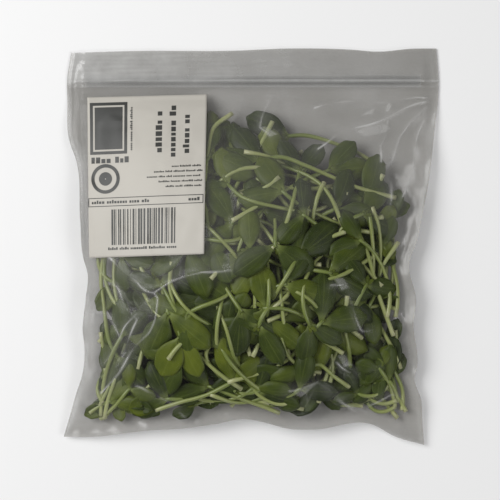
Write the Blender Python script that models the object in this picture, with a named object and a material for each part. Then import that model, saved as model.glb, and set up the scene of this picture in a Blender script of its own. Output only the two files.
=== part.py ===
"""A press-seal bag of cut sunflower shoots, lying on its back on a table.

Metres. +Z is up, +Y runs along the bag towards its zip, +X is to the right of someone who
reads the label. The origin is on the table, under the middle of the bag's outline.
"""

import math

import bmesh
import bpy
import numpy as np
from mathutils.bvhtree import BVHTree

MM = 0.001

# Bag film. The wall stands for film of about 0.07 mm.
WALL = 0.45 * MM
WELD_THICKNESS = 1.1 * MM
WELD_SHARE = 0.018  # weld band over the bag's width or length
FILL_HEIGHT = 36 * MM
BAG_WIDTH = 168 * MM
BAG_LENGTH = 184 * MM
SIDE_FULLNESS = 2.3
SIDE_EASE = 0.8
SEAM_FALL = 24 * MM  # the back film comes down from the seam to the table over this distance
LIP_SIDE = 5 * MM  # the lips part over this distance from the side welds
PAST_LIPS = 1.04  # the hollow runs on past the lips by this share
FILM_CELLS = (18, 20)
EDGE_FOCUS = 0.08  # how much the film's cells crowd towards its edges

# The filled bag's outline seen from above, as (along, across) pairs in mm. The sides and the
# bottom are drawn in between the corners, where the filled film has buckled.
LEFT_EDGE = ((-90.1, -88.9), (-80.4, -86.0), (-69.1, -82.7), (-60.6, -79.9), (-46.4, -78.9), (-40.3, -79.6),
             (-25.2, -78.2), (-12.4, -77.3), (-5.8, -79.2), (12.6, -80.8), (40.9, -82.9), (50.3, -86.2),
             (69.2, -87.2), (78.7, -87.4), (91.9, -85.5))
RIGHT_EDGE = ((-94.0, 82.0), (-81.8, 81.0), (-72.4, 80.4), (-62.0, 77.2), (-57.0, 78.4), (-36.0, 76.7),
              (-25.2, 77.8), (-7.5, 74.6), (2.2, 78.0), (19.7, 81.8), (33.8, 84.4), (49.4, 86.2),
              (78.2, 88.9), (94.0, 87.8))
BOTTOM_EDGE = ((-88.9, -90.1), (-76.0, -90.1), (-47.8, -86.9), (-31.3, -85.9), (-17.1, -83.9), (-2.9, -81.5),
               (5.1, -82.8), (17.8, -86.1), (29.0, -86.5), (58.4, -84.6), (67.4, -89.6), (82.0, -94.0))
TOP_EDGE = ((-85.5, 91.9), (-53.9, 92.8), (-10.0, 92.9), (19.7, 94.0), (49.0, 93.3), (58.9, 92.5),
            (77.0, 93.9), (87.8, 94.0))

# Share of FILL_HEIGHT along the bag, from the bottom weld (0) to the lips (1).
FILL_ALONG = ((0.0, 0.0), (0.03, 0.30), (0.08, 0.56), (0.16, 0.80), (0.26, 0.95), (0.38, 1.0), (0.5, 0.96),
              (0.6, 0.84), (0.7, 0.62), (0.78, 0.38), (0.84, 0.18), (0.885, 0.0), (1.0, 0.0))
SIDE_SEAM_HEIGHT = ((0.0, 2.0), (0.1, 4.0), (0.25, 7.0), (0.5, 8.0), (0.68, 5.5), (0.8, 2.2), (0.885, 0.55),
                    (1.0, 0.55))  # mm
BOTTOM_SEAM_HEIGHT = ((0.0, 2.0), (0.18, 5.5), (0.5, 7.5), (0.82, 5.5), (1.0, 2.0))
LIP_GAP = ((0.0, 0.0), (0.80, 0.0), (0.87, 2.0), (0.95, 2.0), (0.975, 0.6), (1.0, 0.6))

# Press-seal profiles, as (y, z) outlines in mm: y from the zip's line, z from the table.
ZIP_LINE = 78.5 * MM
ZIP_ENDS = (-79.0 * MM, 80.5 * MM)
RIB_OUTLINE = ((-3.0, 0.56), (3.0, 0.56), (3.0, 0.86), (0.25, 0.86), (0.25, 1.30), (0.65, 1.30),
               (0.25, 1.66), (-0.25, 1.66), (-0.65, 1.30), (-0.25, 1.30), (-0.25, 0.86), (-3.0, 0.86))
SOCKET_OUTLINE = ((-3.0, 1.88), (-3.0, 2.18), (3.0, 2.18), (3.0, 1.88), (1.6, 1.88), (1.6, 1.10),
                  (0.5, 1.10), (0.5, 1.22), (0.9, 1.22), (0.9, 1.88), (-0.9, 1.88), (-0.9, 1.22),
                  (-0.5, 1.22), (-0.5, 1.10), (-1.6, 1.10), (-1.6, 1.88))

# Label: a paper sticker, its corners seen from above, in mm, from the lower left round.
LABEL_CORNERS = ((-76.4, -5.4), (-21.8, -3.5), (-20.9, 72.1), (-77.6, 70.6))
LABEL_THICKNESS = 0.25 * MM
LABEL_GAP = 0.6 * MM
LABEL_CELLS = (14, 12)
LABEL_STEPS = 6  # places measured along each of the label's cells
LABEL_PASSES = 40

# Shoots. Each is a stem with a pair of seed leaves at its head.
STEM_RADIUS = 1.25 * MM
STEM_POINTS = 7
BLADE_THICKNESS = 0.7 * MM
BLADE_ROWS = ((0.0, 0.16), (0.3, 0.80), (0.62, 1.0), (0.87, 0.72), (1.0, 0.30))  # share of length, of half width
BLADE_SHAPE = 0.62  # width over length
ROOT_SUNK = 1.2 * MM  # how far before the stem's end its leaves begin
SHOOT_LIMIT = 54
SEEN_TRIES = 14
LEAF_TRIES = 8
FILL_TRIES = 1500
SEED = 11

# The shoots that show through the front film, the uppermost first: places seen from above in mm,
# the stem from its cut end to its head, then the tips of its seed leaves.
SEEN = (
    (((68, 23), (49, 28), (30, 36), (12, 42), (3, 40)), ((-11, 56), (-15, 42))),
    (((10, 59), (5, 49), (-5, 32), (-13, 16)), ((-24, 3), (-7, -4))),
    (((-9, 63), (-16, 59), (-19, 51), (-21, 39), (-21, 14), (-18, -1)), ((-28, -18), (-10, -17))),
    (((27, 27), (26, 15), (25, -7), (17, -20), (4, -27), (-5, -29)), ((-27, -27), (-26, -15))),
    (((-9, 12), (19, 28), (29, 33), (37, 36)), ((57, 38), (50, 50))),
    (((67, -42), (59, -20), (52, 3), (44, 13), (35, 15)), ((26, 30), (45, 31))),
    (((44, 7), (33, 3), (19, -1), (7, -3), (2, -7)), ((-8, -22), (9, -24))),
    (((-24, -7), (-14, 2), (-5, 10), (5, 16)), ((18, 27), (3, 35))),
    (((62, 14), (54, 12), (40, 5), (33, -2)), ((22, -19), (44, -17))),
    (((46, -66), (39, -61), (31, -55), (24, -57)), ((22, -37), (9, -63))),
    (((-45, -77), (-33, -73), (-22, -70), (-8, -63)), ((-12, -40), (6, -53))),
    (((-69, 2), (-71, -5), (-72, -13), (-70, -31), (-69, -41), (-64, -52)), ((-71, -72), (-52, -65))),
    (((-33, -79), (-46, -70), (-56, -62), (-66, -58)), ((-72, -40), (-56, -42))),
    (((13, -29), (3, -23), (-8, -21), (-22, -24)), ((-41, -30), (-40, -12))),
    (((-37, -7), (-38, -19), (-36, -27), (-33, -43)), ((-42, -62), (-26, -62))),
    (((43, -50), (28, -40), (16, -30), (12, -22)), ((18, -2), (-4, -9))),
    (((44, -83), (25, -78), (5, -72), (-13, -68)), ((-33, -62), (-27, -80))),
    (((70, -80), (62, -76), (44, -79), (30, -70)), ((14, -58), (10, -77))),
    (((46, -24), (45, -40), (47, -50), (48, -60)), ((40, -78), (58, -79))),
    (((-40, -27), (-51, -35), (-60, -35), (-67, -30)), ((-72, -12), (-56, -14))),
    (((35, -15), (38, -27), (38, -37), (36, -44)), ((24, -60), (44, -64))),
    (((74, -33), (68, -31), (59, -32), (50, -36)), ((34, -28), (37, -44))),
    (((57, -48), (57, -56), (61, -63), (66, -62)), ((72, -78), (74, -46))),
    (((-10, -40), (-20, -53), (-14, -62), (-6, -70)), ((6, -80), (12, -70))),
    (((-16, 11), (1, 16), (11, 17), (20, 10)), ((36, -4), (24, -12))),
    (((62, 34), (56, 22), (50, 12), (47, 2)), ((57, -14), (38, -12))),
)

# The bag's room, in cubes.
CELL = 0.8 * MM
ROOM_LOW = (-92 * MM, -97 * MM, 0.0)
ROOM_CELLS = (230, 216, 50)
ROOM_EDGE = 0.03
ROOM_TOP = 0.87
PIECE_GAP = 0.35 * MM
FILM_SAG = 0.3 * MM  # how far inside its true curve the film's flat cells come
ROUNDING = 0.45 * MM
HALF_THICKNESS = {"stem": STEM_RADIUS, "blade": BLADE_THICKNESS / 2}
LEVELS = 12
STEEPEST = 7 * MM
LEVEL_PULL = 4.0  # how strongly a stem keeps to its level
STRAIGHT_PULL = 0.03  # how strongly it keeps from rising and falling


def curve_through(knots, at):
    """A smooth line through (position, value) knots, read at the positions at."""
    place, value = np.array(knots, float).T
    slope = np.gradient(value, place)
    at = np.clip(at, place[0], place[-1])
    i = np.clip(np.searchsorted(place, at, side="right") - 1, 0, len(place) - 2)
    span = place[i + 1] - place[i]
    t = (at - place[i]) / span
    return (value[i] * (2 * t**3 - 3 * t**2 + 1) + value[i + 1] * (3 * t**2 - 2 * t**3)
            + span * (slope[i] * (t**3 - 2 * t**2 + t) + slope[i + 1] * (t**3 - t**2)))


def along_edge(edge, share):
    """An outline edge's value in metres, at a share of the edge's run."""
    first, last = edge[0][0], edge[-1][0]
    return curve_through(edge, first + (last - first) * share) * MM


def plan(u, w):
    """Where the film's point (u across, w along) is, seen from above."""
    x = (1 - u) * along_edge(LEFT_EDGE, w) + u * along_edge(RIGHT_EDGE, w)
    y = (1 - w) * along_edge(BOTTOM_EDGE, u) + w * along_edge(TOP_EDGE, u)
    return x, y


def unplan(x, y):
    """The film's (u, w) under a place seen from above."""
    u, w = x * 0 + 0.5, y * 0 + 0.5
    for _ in range(8):
        left, right = along_edge(LEFT_EDGE, w), along_edge(RIGHT_EDGE, w)
        low, high = along_edge(BOTTOM_EDGE, u), along_edge(TOP_EDGE, u)
        u, w = np.clip((x - left) / (right - left), 0, 1), np.clip((y - low) / (high - low), 0, 1)
    return u, w


def ease(t):
    t = np.clip(t, 0, 1)
    return t * t * (3 - 2 * t)


def film(u, w):
    """Heights of the bag's outer faces over the film's point (u, w): back film, front film."""
    from_side = np.minimum(u, 1 - u) * BAG_WIDTH
    from_bottom = w * BAG_LENGTH
    inner_u = np.clip((u - WELD_SHARE) / (1 - 2 * WELD_SHARE), 0, 1)
    inner_w = np.clip((w - WELD_SHARE) / (1 - WELD_SHARE), 0, 1)
    side_weight = (from_bottom + 1e-6) / (from_bottom + from_side + 2e-6)
    seam = (curve_through(SIDE_SEAM_HEIGHT, w) * side_weight
            + curve_through(BOTTOM_SEAM_HEIGHT, u) * (1 - side_weight)) * MM
    fall = 1 - ease(np.minimum(from_side, from_bottom) / SEAM_FALL)
    back = np.maximum(seam - WELD_THICKNESS / 2, 0) * fall
    across = np.clip(1 - np.abs(2 * inner_u - 1) ** SIDE_FULLNESS, 0, 1) ** SIDE_EASE
    fill = FILL_HEIGHT * across * np.maximum(curve_through(FILL_ALONG, inner_w), 0)
    lips = curve_through(LIP_GAP, w) * MM * ease(np.minimum(inner_u, 1 - inner_u) * BAG_WIDTH / LIP_SIDE)
    return back, back + WELD_THICKNESS + fill + np.maximum(lips, 0)


def crowded(share):
    """Moves evenly spaced shares towards both ends, where the film curves most."""
    return share - EDGE_FOCUS * np.sin(2 * math.pi * share)


def material(name, colour, roughness, alpha=1.0):
    made = bpy.data.materials.new(name)
    made.use_nodes = True
    shader = made.node_tree.nodes["Principled BSDF"]
    shader.inputs["Base Color"].default_value = (*colour, 1)
    shader.inputs["Roughness"].default_value = roughness
    shader.inputs["Metallic"].default_value = 0
    shader.inputs["Alpha"].default_value = alpha
    return made


def object_from(bm, name, finish):
    mesh = bpy.data.meshes.new(name)
    bm.to_mesh(mesh)
    bm.free()
    made = bpy.data.objects.new(name, mesh)
    bpy.context.scene.collection.objects.link(made)
    mesh.materials.append(finish)
    return made


def slab(name, cells, place, finish):
    """A closed sheet: a grid extruded once. place(a, b) gives x, y, underside and top, for a and b
    from 0 to 1."""
    bm = bmesh.new()
    bmesh.ops.create_grid(bm, x_segments=cells[0], y_segments=cells[1], size=0.5)
    under = list(bm.verts)
    raised = bmesh.ops.extrude_face_region(bm, geom=list(bm.faces))["geom"]
    top = [v for v in raised if isinstance(v, bmesh.types.BMVert)]
    for verts, is_top in ((under, False), (top, True)):
        a = np.array([v.co.x + 0.5 for v in verts])
        b = np.array([v.co.y + 0.5 for v in verts])
        x, y, low, high = place(a, b)
        for v, point in zip(verts, np.stack([x, y, high if is_top else low], 1)):
            v.co = point
    bmesh.ops.recalc_face_normals(bm, faces=bm.faces)
    bmesh.ops.triangulate(bm, faces=bm.faces, quad_method="FIXED")
    return object_from(bm, name, finish)


def apply_boolean(target, operation, operand, solver="EXACT"):
    """Applies one Boolean of target with an object or a collection of objects, and removes them."""
    many = isinstance(operand, bpy.types.Collection)
    step = target.modifiers.new("join", "BOOLEAN")
    step.operation = operation
    step.solver = solver
    step.operand_type = "COLLECTION" if many else "OBJECT"
    if many:
        step.collection = operand
    else:
        step.object = operand
    bpy.context.view_layer.update()
    evaluated = target.evaluated_get(bpy.context.evaluated_depsgraph_get())
    joined = bpy.data.meshes.new_from_object(evaluated)
    target.modifiers.remove(step)
    target.data = joined
    for used in list(operand.objects) if many else [operand]:
        bpy.data.objects.remove(used)
    if many:
        bpy.data.collections.remove(operand)
    return target


def make_bag(finish):
    """The film: an outer body with the inside cut out, open between the lips."""
    def outer(a, b):
        u, w = crowded(a), crowded(b)
        return *plan(u, w), *film(u, w)

    def inner(a, b):
        u = np.clip(crowded(a), WELD_SHARE, 1 - WELD_SHARE)
        w = np.where(b > 0.999, PAST_LIPS, np.maximum(crowded(b), WELD_SHARE))
        x, y = plan(u, np.minimum(w, 1))
        y = y + np.maximum(w - 1, 0) * BAG_LENGTH
        back, front = film(u, np.minimum(w, 1))
        return x, y, back + WALL, front - WALL

    bag = slab("bag_film", FILM_CELLS, outer, finish)
    inside = slab("inside", FILM_CELLS, inner, finish)
    return apply_boolean(bag, "DIFFERENCE", inside)


def make_strip(name, outline, finish):
    """A press-seal profile: its outline drawn along the zip."""
    bm = bmesh.new()
    corners = [bm.verts.new((ZIP_ENDS[0], ZIP_LINE + y * MM, z * MM)) for y, z in outline]
    face = bm.faces.new(corners)
    run = bmesh.ops.extrude_face_region(bm, geom=[face])["geom"]
    moved = [v for v in run if isinstance(v, bmesh.types.BMVert)]
    bmesh.ops.translate(bm, verts=moved, vec=(ZIP_ENDS[1] - ZIP_ENDS[0], 0, 0))
    bmesh.ops.recalc_face_normals(bm, faces=bm.faces)
    return object_from(bm, name, finish)


def label_plan(a, b):
    """Where the label's point is, seen from above: a goes across it and b up it, both from 0 to 1."""
    low_left, low_right, high_right, high_left = np.array(LABEL_CORNERS) * MM
    a, b = a[..., None], b[..., None]
    return (1 - b) * ((1 - a) * low_left + a * low_right) + b * ((1 - a) * high_left + a * high_right)


def tops_under(body, places):
    """The height of a body's upper face at places seen from above."""
    bpy.context.view_layer.update()
    tree = BVHTree.FromObject(body, bpy.context.evaluated_depsgraph_get())
    met = [tree.ray_cast((*place, 1.0), (0, 0, -1))[0] for place in places.reshape(-1, 2)]
    return np.array([0.0 if point is None else point.z for point in met]).reshape(places.shape[:-1])


def held_clear(tops, steps):
    """Heights for a coarse grid that pass over fine ones, which have so many steps to each of its cells."""
    heights = tops[::steps, ::steps].copy()
    share = np.linspace(0, 1, steps + 1)
    s, t = np.meshgrid(share, share)
    for _ in range(LABEL_PASSES):
        lift = np.zeros_like(heights)
        for row in range(heights.shape[0] - 1):
            for column in range(heights.shape[1] - 1):
                (h00, h10), (h01, h11) = heights[row:row + 2, column:column + 2]
                rising = np.where(s > t, h00 + s * (h10 - h00) + t * (h11 - h10),
                                  h00 + t * (h01 - h00) + s * (h11 - h01))
                falling = np.where(s + t < 1, h00 + s * (h10 - h00) + t * (h01 - h00),
                                   h11 + (1 - s) * (h01 - h11) + (1 - t) * (h10 - h11))
                block = tops[row * steps:(row + 1) * steps + 1, column * steps:(column + 1) * steps + 1]
                short = (block - np.minimum(rising, falling)).max()
                corner = lift[row:row + 2, column:column + 2]
                np.maximum(corner, short / 2, out=corner)
        if lift.max() < LABEL_GAP / 60:
            break
        heights += lift
    return heights


def make_label(bag, finish):
    """The sticker, laid on the front film."""
    columns, rows = LABEL_CELLS
    across, up = np.meshgrid(np.linspace(0, 1, columns * LABEL_STEPS + 1),
                             np.linspace(0, 1, rows * LABEL_STEPS + 1))
    heights = held_clear(tops_under(bag, label_plan(across, up)), LABEL_STEPS)

    def on_film(a, b):
        x, y = label_plan(a, b).T
        low = heights[np.rint(b * rows).astype(int), np.rint(a * columns).astype(int)] + LABEL_GAP
        return x, y, low, low + LABEL_THICKNESS

    return slab("label", LABEL_CELLS, on_film, finish)


def pushed(height, distance, way):
    """A surface moved up (way 1) or down (way -1) by a distance, measured across it."""
    reach = int(math.ceil(distance / CELL))
    padded = np.pad(height, reach, mode="edge")
    farthest = np.maximum if way > 0 else np.minimum
    found = height
    for row in range(2 * reach + 1):
        for column in range(2 * reach + 1):
            beyond = distance**2 - ((row - reach) ** 2 + (column - reach) ** 2) * CELL**2
            if beyond >= 0:
                near = padded[row:row + height.shape[0], column:column + height.shape[1]]
                found = farthest(found, near + way * math.sqrt(beyond))
    return found


class Room:
    """The inside of the bag as cubes, with those that the middle of a stem or a blade may not be in."""

    def __init__(self):
        x, y = np.meshgrid(ROOM_LOW[0] + np.arange(ROOM_CELLS[0]) * CELL,
                           ROOM_LOW[1] + np.arange(ROOM_CELLS[1]) * CELL, indexing="ij")
        u, w = unplan(x, y)
        back, front = film(u, w)
        self.inside = (np.minimum(u, 1 - u) > ROOM_EDGE) & (w > ROOM_EDGE) & (w < ROOM_TOP)
        self.low = np.where(self.inside, back + WALL + FILM_SAG, CELL * ROOM_CELLS[2])
        self.high = np.where(self.inside, front - WALL - FILM_SAG, 0.0)
        z = np.arange(ROOM_CELLS[2]) * CELL
        self.taken = {}
        for kind, half in HALF_THICKNESS.items():
            floor = pushed(self.low, half + PIECE_GAP + ROUNDING, 1)[..., None]
            ceiling = pushed(self.high, half + PIECE_GAP + ROUNDING, -1)[..., None]
            self.taken[kind] = (z < floor) | (z > ceiling)

    def cells(self, points):
        near = np.rint((points - np.array(ROOM_LOW)) / CELL).astype(int)
        return np.clip(near, 0, np.array(ROOM_CELLS) - 1)

    def is_taken(self, kind, points):
        return self.taken[kind][tuple(np.moveaxis(self.cells(points), -1, 0))]

    def read(self, surface, places):
        points = np.concatenate([places, np.zeros(places.shape[:-1] + (1,))], -1)
        cells = self.cells(points)
        return surface[cells[..., 0], cells[..., 1]]

    def slope(self, surface, place, reach=4 * CELL):
        """How steeply a surface rises along x and y at a place."""
        steps = np.array(((reach, 0), (-reach, 0), (0, reach), (0, -reach)))
        east, west, north, south = self.read(surface, place[:2] + steps)
        return np.clip(np.array((east - west, north - south)) / (2 * reach), -1, 1)

    def take(self, kind, points):
        """Marks the cubes round a thing's middle that others have to keep out of."""
        for other, taken in self.taken.items():
            radius = HALF_THICKNESS[kind] + HALF_THICKNESS[other] + PIECE_GAP + ROUNDING
            reach = np.arange(-math.ceil(radius / CELL) - 1, math.ceil(radius / CELL) + 2)
            offsets = np.stack(np.meshgrid(reach, reach, reach, indexing="ij"), -1).reshape(-1, 3)
            cells = self.cells(points)[:, None] + offsets
            away = np.linalg.norm(cells * CELL + np.array(ROOM_LOW) - points[:, None], axis=2)
            near = cells[(away < radius) & (cells >= 0).all(2) & (cells < np.array(ROOM_CELLS)).all(2)]
            taken[tuple(near.T)] = True


def blade_rows(leaf):
    """The two edges of a blade's middle, row by row from its root, which is at the origin."""
    turn, pitch, roll = leaf["turn"], leaf["pitch"], leaf["roll"]
    forward = np.array([math.cos(pitch) * math.cos(turn), math.cos(pitch) * math.sin(turn), math.sin(pitch)])
    level = np.array([-math.sin(turn), math.cos(turn), 0.0])
    upright = np.cross(forward, level)
    side = level * math.cos(roll) + upright * math.sin(roll)
    share, half = np.array(BLADE_ROWS).T
    half = half * leaf["length"] * BLADE_SHAPE / 2
    rise = 4 * share * (1 - share) * leaf["arch"]
    middle = np.outer(share * leaf["length"], forward) + np.outer(rise, upright)
    return middle - np.outer(half, side), middle + np.outer(half, side)


def blade_surface(leaf, share, across):
    """Places on a blade's middle surface: share counts its rows from 0 to 1, across goes from edge
    to edge."""
    right, left = blade_rows(leaf)
    steps = np.linspace(0, 1, len(right))
    columns = []
    for axis in range(3):
        columns.append(np.interp(share, steps, right[:, axis]) * (1 - across)
                       + np.interp(share, steps, left[:, axis]) * across)
    return np.stack(columns, -1)


def blade_samples(leaf):
    share, across = np.meshgrid(np.linspace(0, 1, 25), np.linspace(0, 1, 15))
    return blade_surface(leaf, share.ravel(), across.ravel())


def stem_samples(path, per_run=12):
    share = np.linspace(0, 1, per_run, endpoint=False)[:, None]
    runs = path[:-1, None] * (1 - share) + path[1:, None] * share
    return np.concatenate([runs.reshape(-1, 3), path[-1:]])


def leaf_root(path):
    return path[-1] - (path[-1] - path[-2]) / np.linalg.norm(path[-1] - path[-2]) * ROOT_SUNK


def leaf_towards(turn, length, rng):
    return {"turn": turn, "pitch": 0.0, "roll": 0.0, "length": length, "arch": rng.uniform(0.4, 1.8) * MM}


def seen_shoot(stem, tips, rng):
    """A shoot along places read from the photograph."""
    stem = np.array(stem) * MM
    run = np.concatenate([[0], np.cumsum(np.linalg.norm(np.diff(stem, axis=0), axis=1))])
    at = np.linspace(0, run[-1], STEM_POINTS)
    path = np.zeros((STEM_POINTS, 3))
    for axis in (0, 1):
        path[:, axis] = curve_through(np.stack([run, stem[:, axis]], 1), at)
    leaves = []
    for tip in tips:
        reach = np.array(tip) * MM - path[-1, :2]
        leaves.append(leaf_towards(math.atan2(reach[1], reach[0]), np.linalg.norm(reach) + ROOT_SUNK, rng))
    return {"path": path, "leaves": leaves}


def grown_shoot(rng):
    """A shoot of chance size, bend and place."""
    heading = rng.uniform(0, 2 * math.pi)
    run = rng.uniform(42, 78) * MM / (STEM_POINTS - 1)
    steps = np.arange(STEM_POINTS - 1)
    turns = heading + rng.normal(0, 0.14) * steps + rng.normal(0, 0.08) * np.sin(steps * 1.3)
    path = np.zeros((STEM_POINTS, 3))
    path[1:, 0] = np.cumsum(np.cos(turns)) * run
    path[1:, 1] = np.cumsum(np.sin(turns)) * run
    path[:, :2] += np.array((rng.uniform(-85, 85), rng.uniform(-90, 50))) * MM
    size = rng.uniform(19, 25) * MM
    spread = rng.uniform(0.45, 1.15)
    lean = turns[-1] + rng.uniform(-0.3, 0.3)
    return {"path": path, "leaves": [leaf_towards(lean + way * spread, size, rng) for way in (-1, 1)]}


def fitted_leaves(room, shoot, slope, rng):
    """The shoot's leaves, lying along a slope, tilted a little if need be, or None where they
    don't fit."""
    root = leaf_root(shoot["path"])
    fitted = []
    for leaf in shoot["leaves"]:
        for variant in range(LEAF_TRIES):
            loose = variant / LEAF_TRIES
            turn = leaf["turn"] + rng.uniform(-0.3, 0.3) * loose
            along = slope[0] * math.cos(turn) + slope[1] * math.sin(turn)
            sideways = slope[1] * math.cos(turn) - slope[0] * math.sin(turn)
            trial = {**leaf, "turn": turn, "pitch": math.atan(along) + rng.uniform(-0.3, 0.4) * loose,
                     "roll": math.atan(sideways) + rng.uniform(-0.6, 0.6) * loose}
            if not room.is_taken("blade", blade_samples(trial) + root).any():
                fitted.append(trial)
                break
    return fitted if len(fitted) == len(shoot["leaves"]) else None


def lay(room, shoot, level, rng):
    """Sets a shoot's heights so that it keeps clear of all that is there, as near as it can to a
    level, where 0 is the back film and 1 the front film. False where it can't."""
    path = shoot["path"]
    if not room.read(room.inside, path[:, :2]).all():
        return False
    low = room.read(room.low, path[:, :2]) + STEM_RADIUS + PIECE_GAP
    high = room.read(room.high, path[:, :2]) - STEM_RADIUS - PIECE_GAP
    if (high < low).any():
        return False
    levels = np.linspace(0, 1, LEVELS)
    heights = low[:, None] + (high - low)[:, None] * levels
    share = np.linspace(0, 1, 11)
    places = path[:-1, None, :2] * (1 - share)[:, None] + path[1:, None, :2] * share[:, None]
    runs = heights[:-1, :, None, None] * (1 - share) + heights[1:, None, :, None] * share
    points = np.empty(runs.shape + (3,))
    points[..., :2] = places[:, None, None]
    points[..., 2] = runs
    blocked = room.is_taken("stem", points).any(-1)
    rise = heights[1:, None, :] - heights[:-1, :, None]
    blocked |= np.abs(rise) > STEEPEST

    off_level = LEVEL_PULL * (levels - level) ** 2
    cost = off_level
    came_from = []
    for i in range(len(path) - 1):
        step = cost[:, None] + np.where(blocked[i], np.inf, STRAIGHT_PULL * (rise[i] / MM) ** 2)
        came_from.append(step.argmin(0))
        cost = step.min(0) + off_level
    low_slope, high_slope = room.slope(room.low, path[-1]), room.slope(room.high, path[-1])
    for last in np.argsort(cost):
        if not np.isfinite(cost[last]):
            return False
        chosen = [last]
        for source in reversed(came_from):
            chosen.append(source[chosen[-1]])
        path[:, 2] = heights[np.arange(len(path)), chosen[::-1]]
        slope = low_slope * (1 - levels[last]) + high_slope * levels[last]
        leaves = fitted_leaves(room, shoot, slope, rng)
        if leaves is not None:
            shoot["leaves"] = leaves
            return True
    return False


def add(room, shoot):
    room.take("stem", stem_samples(shoot["path"]))
    for leaf in shoot["leaves"]:
        room.take("blade", blade_samples(leaf) + leaf_root(shoot["path"]))


def shifted(shoot, x, y):
    path = shoot["path"].copy()
    path[:, :2] += (x, y)
    return {"path": path, "leaves": shoot["leaves"]}


def packed_shoots():
    """All the shoots, laid clear of each other: those seen from the front first, then others under them."""
    rng = np.random.default_rng(SEED)
    room = Room()
    shoots = []
    for stem, tips in SEEN:
        seen = seen_shoot(stem, tips, rng)
        for attempt in range(SEEN_TRIES):
            move = rng.uniform(-1, 1, 2) * MM * attempt / 2
            trial = shifted(seen, *move)
            if lay(room, trial, 1.0, rng):
                add(room, trial)
                shoots.append(trial)
                break
    for _ in range(FILL_TRIES):
        if len(shoots) == SHOOT_LIMIT:
            break
        trial = grown_shoot(rng)
        if lay(room, trial, rng.uniform(0, 1), rng):
            add(room, trial)
            shoots.append(trial)
    return shoots


def clear_scene():
    for old in list(bpy.data.objects):
        bpy.data.objects.remove(old)


def make_stem(name, path, finish):
    """A stem: a curve with a round section along the shoot's path, as a mesh."""
    line = bpy.data.curves.new(name, "CURVE")
    line.dimensions = "3D"
    line.bevel_depth = STEM_RADIUS
    line.bevel_resolution = 0
    line.use_fill_caps = True
    line.twist_mode = "Z_UP"
    spline = line.splines.new("POLY")
    spline.points.add(len(path) - 1)
    for point, place in zip(spline.points, path):
        point.co = (*place, 1)
    drawn = bpy.data.objects.new(name, line)
    bpy.context.scene.collection.objects.link(drawn)
    bpy.context.view_layer.update()
    mesh = bpy.data.meshes.new_from_object(drawn.evaluated_get(bpy.context.evaluated_depsgraph_get()))
    bpy.data.objects.remove(drawn)
    bm = bmesh.new()
    bm.from_mesh(mesh)
    bmesh.ops.remove_doubles(bm, verts=bm.verts, dist=0.01 * MM)
    bmesh.ops.recalc_face_normals(bm, faces=bm.faces)
    return object_from(bm, name, finish)


def make_blade(name, leaf, root, finish):
    """A seed leaf: a thin arched slab."""

    def place(across, share):
        x, y, z = (root + blade_surface(leaf, share, across)).T
        return x, y, z - BLADE_THICKNESS / 2, z + BLADE_THICKNESS / 2

    return slab(name, (1, len(BLADE_ROWS) - 1), place, finish)


def make_shoot(name, shoot, finish):
    """One node: a stem with its seed leaves, joined into one body."""
    stem = make_stem(name, shoot["path"], finish)
    leaves = bpy.data.collections.new(name + "_leaves")
    for i, leaf in enumerate(shoot["leaves"]):
        blade = make_blade(f"{name}_leaf{i}", leaf, leaf_root(shoot["path"]), finish)
        bpy.context.scene.collection.objects.unlink(blade)
        leaves.objects.link(blade)
    return apply_boolean(stem, "UNION", leaves)


def main():
    clear_scene()
    film_finish = material("film", (0.72, 0.72, 0.70), 0.2, 0.35)
    zip_finish = material("zip", (0.78, 0.78, 0.76), 0.3, 0.6)
    paper = material("label_paper", (0.86, 0.83, 0.78), 0.7)
    green = material("shoot_green", (0.16, 0.24, 0.06), 0.45)
    bag = make_bag(film_finish)
    make_strip("zip_rib_strip", RIB_OUTLINE, zip_finish)
    make_strip("zip_socket_strip", SOCKET_OUTLINE, zip_finish)
    make_label(bag, paper)
    for i, shoot in enumerate(packed_shoots()):
        make_shoot(f"shoot_{i + 1:02d}", shoot, green)


main()
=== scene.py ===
"""The looks of a clear press-seal bag of sunflower shoots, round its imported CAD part.

Metres, in the part's own frame: the bag lies on its back, +Z is up, +Y runs towards the zip.
"""

import math

import bmesh
import bpy
import numpy as np
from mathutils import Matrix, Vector


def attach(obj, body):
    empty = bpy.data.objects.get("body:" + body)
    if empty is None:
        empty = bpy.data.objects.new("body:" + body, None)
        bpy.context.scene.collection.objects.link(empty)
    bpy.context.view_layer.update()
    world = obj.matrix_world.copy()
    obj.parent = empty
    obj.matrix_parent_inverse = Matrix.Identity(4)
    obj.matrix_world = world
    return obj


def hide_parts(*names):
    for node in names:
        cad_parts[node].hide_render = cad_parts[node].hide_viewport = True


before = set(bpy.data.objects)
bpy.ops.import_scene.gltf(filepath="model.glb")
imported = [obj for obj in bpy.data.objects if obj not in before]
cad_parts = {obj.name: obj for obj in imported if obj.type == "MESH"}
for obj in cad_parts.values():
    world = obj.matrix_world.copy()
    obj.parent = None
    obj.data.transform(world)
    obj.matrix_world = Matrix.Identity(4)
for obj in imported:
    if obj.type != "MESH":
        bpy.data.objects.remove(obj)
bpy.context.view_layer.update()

MM = 0.001

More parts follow.
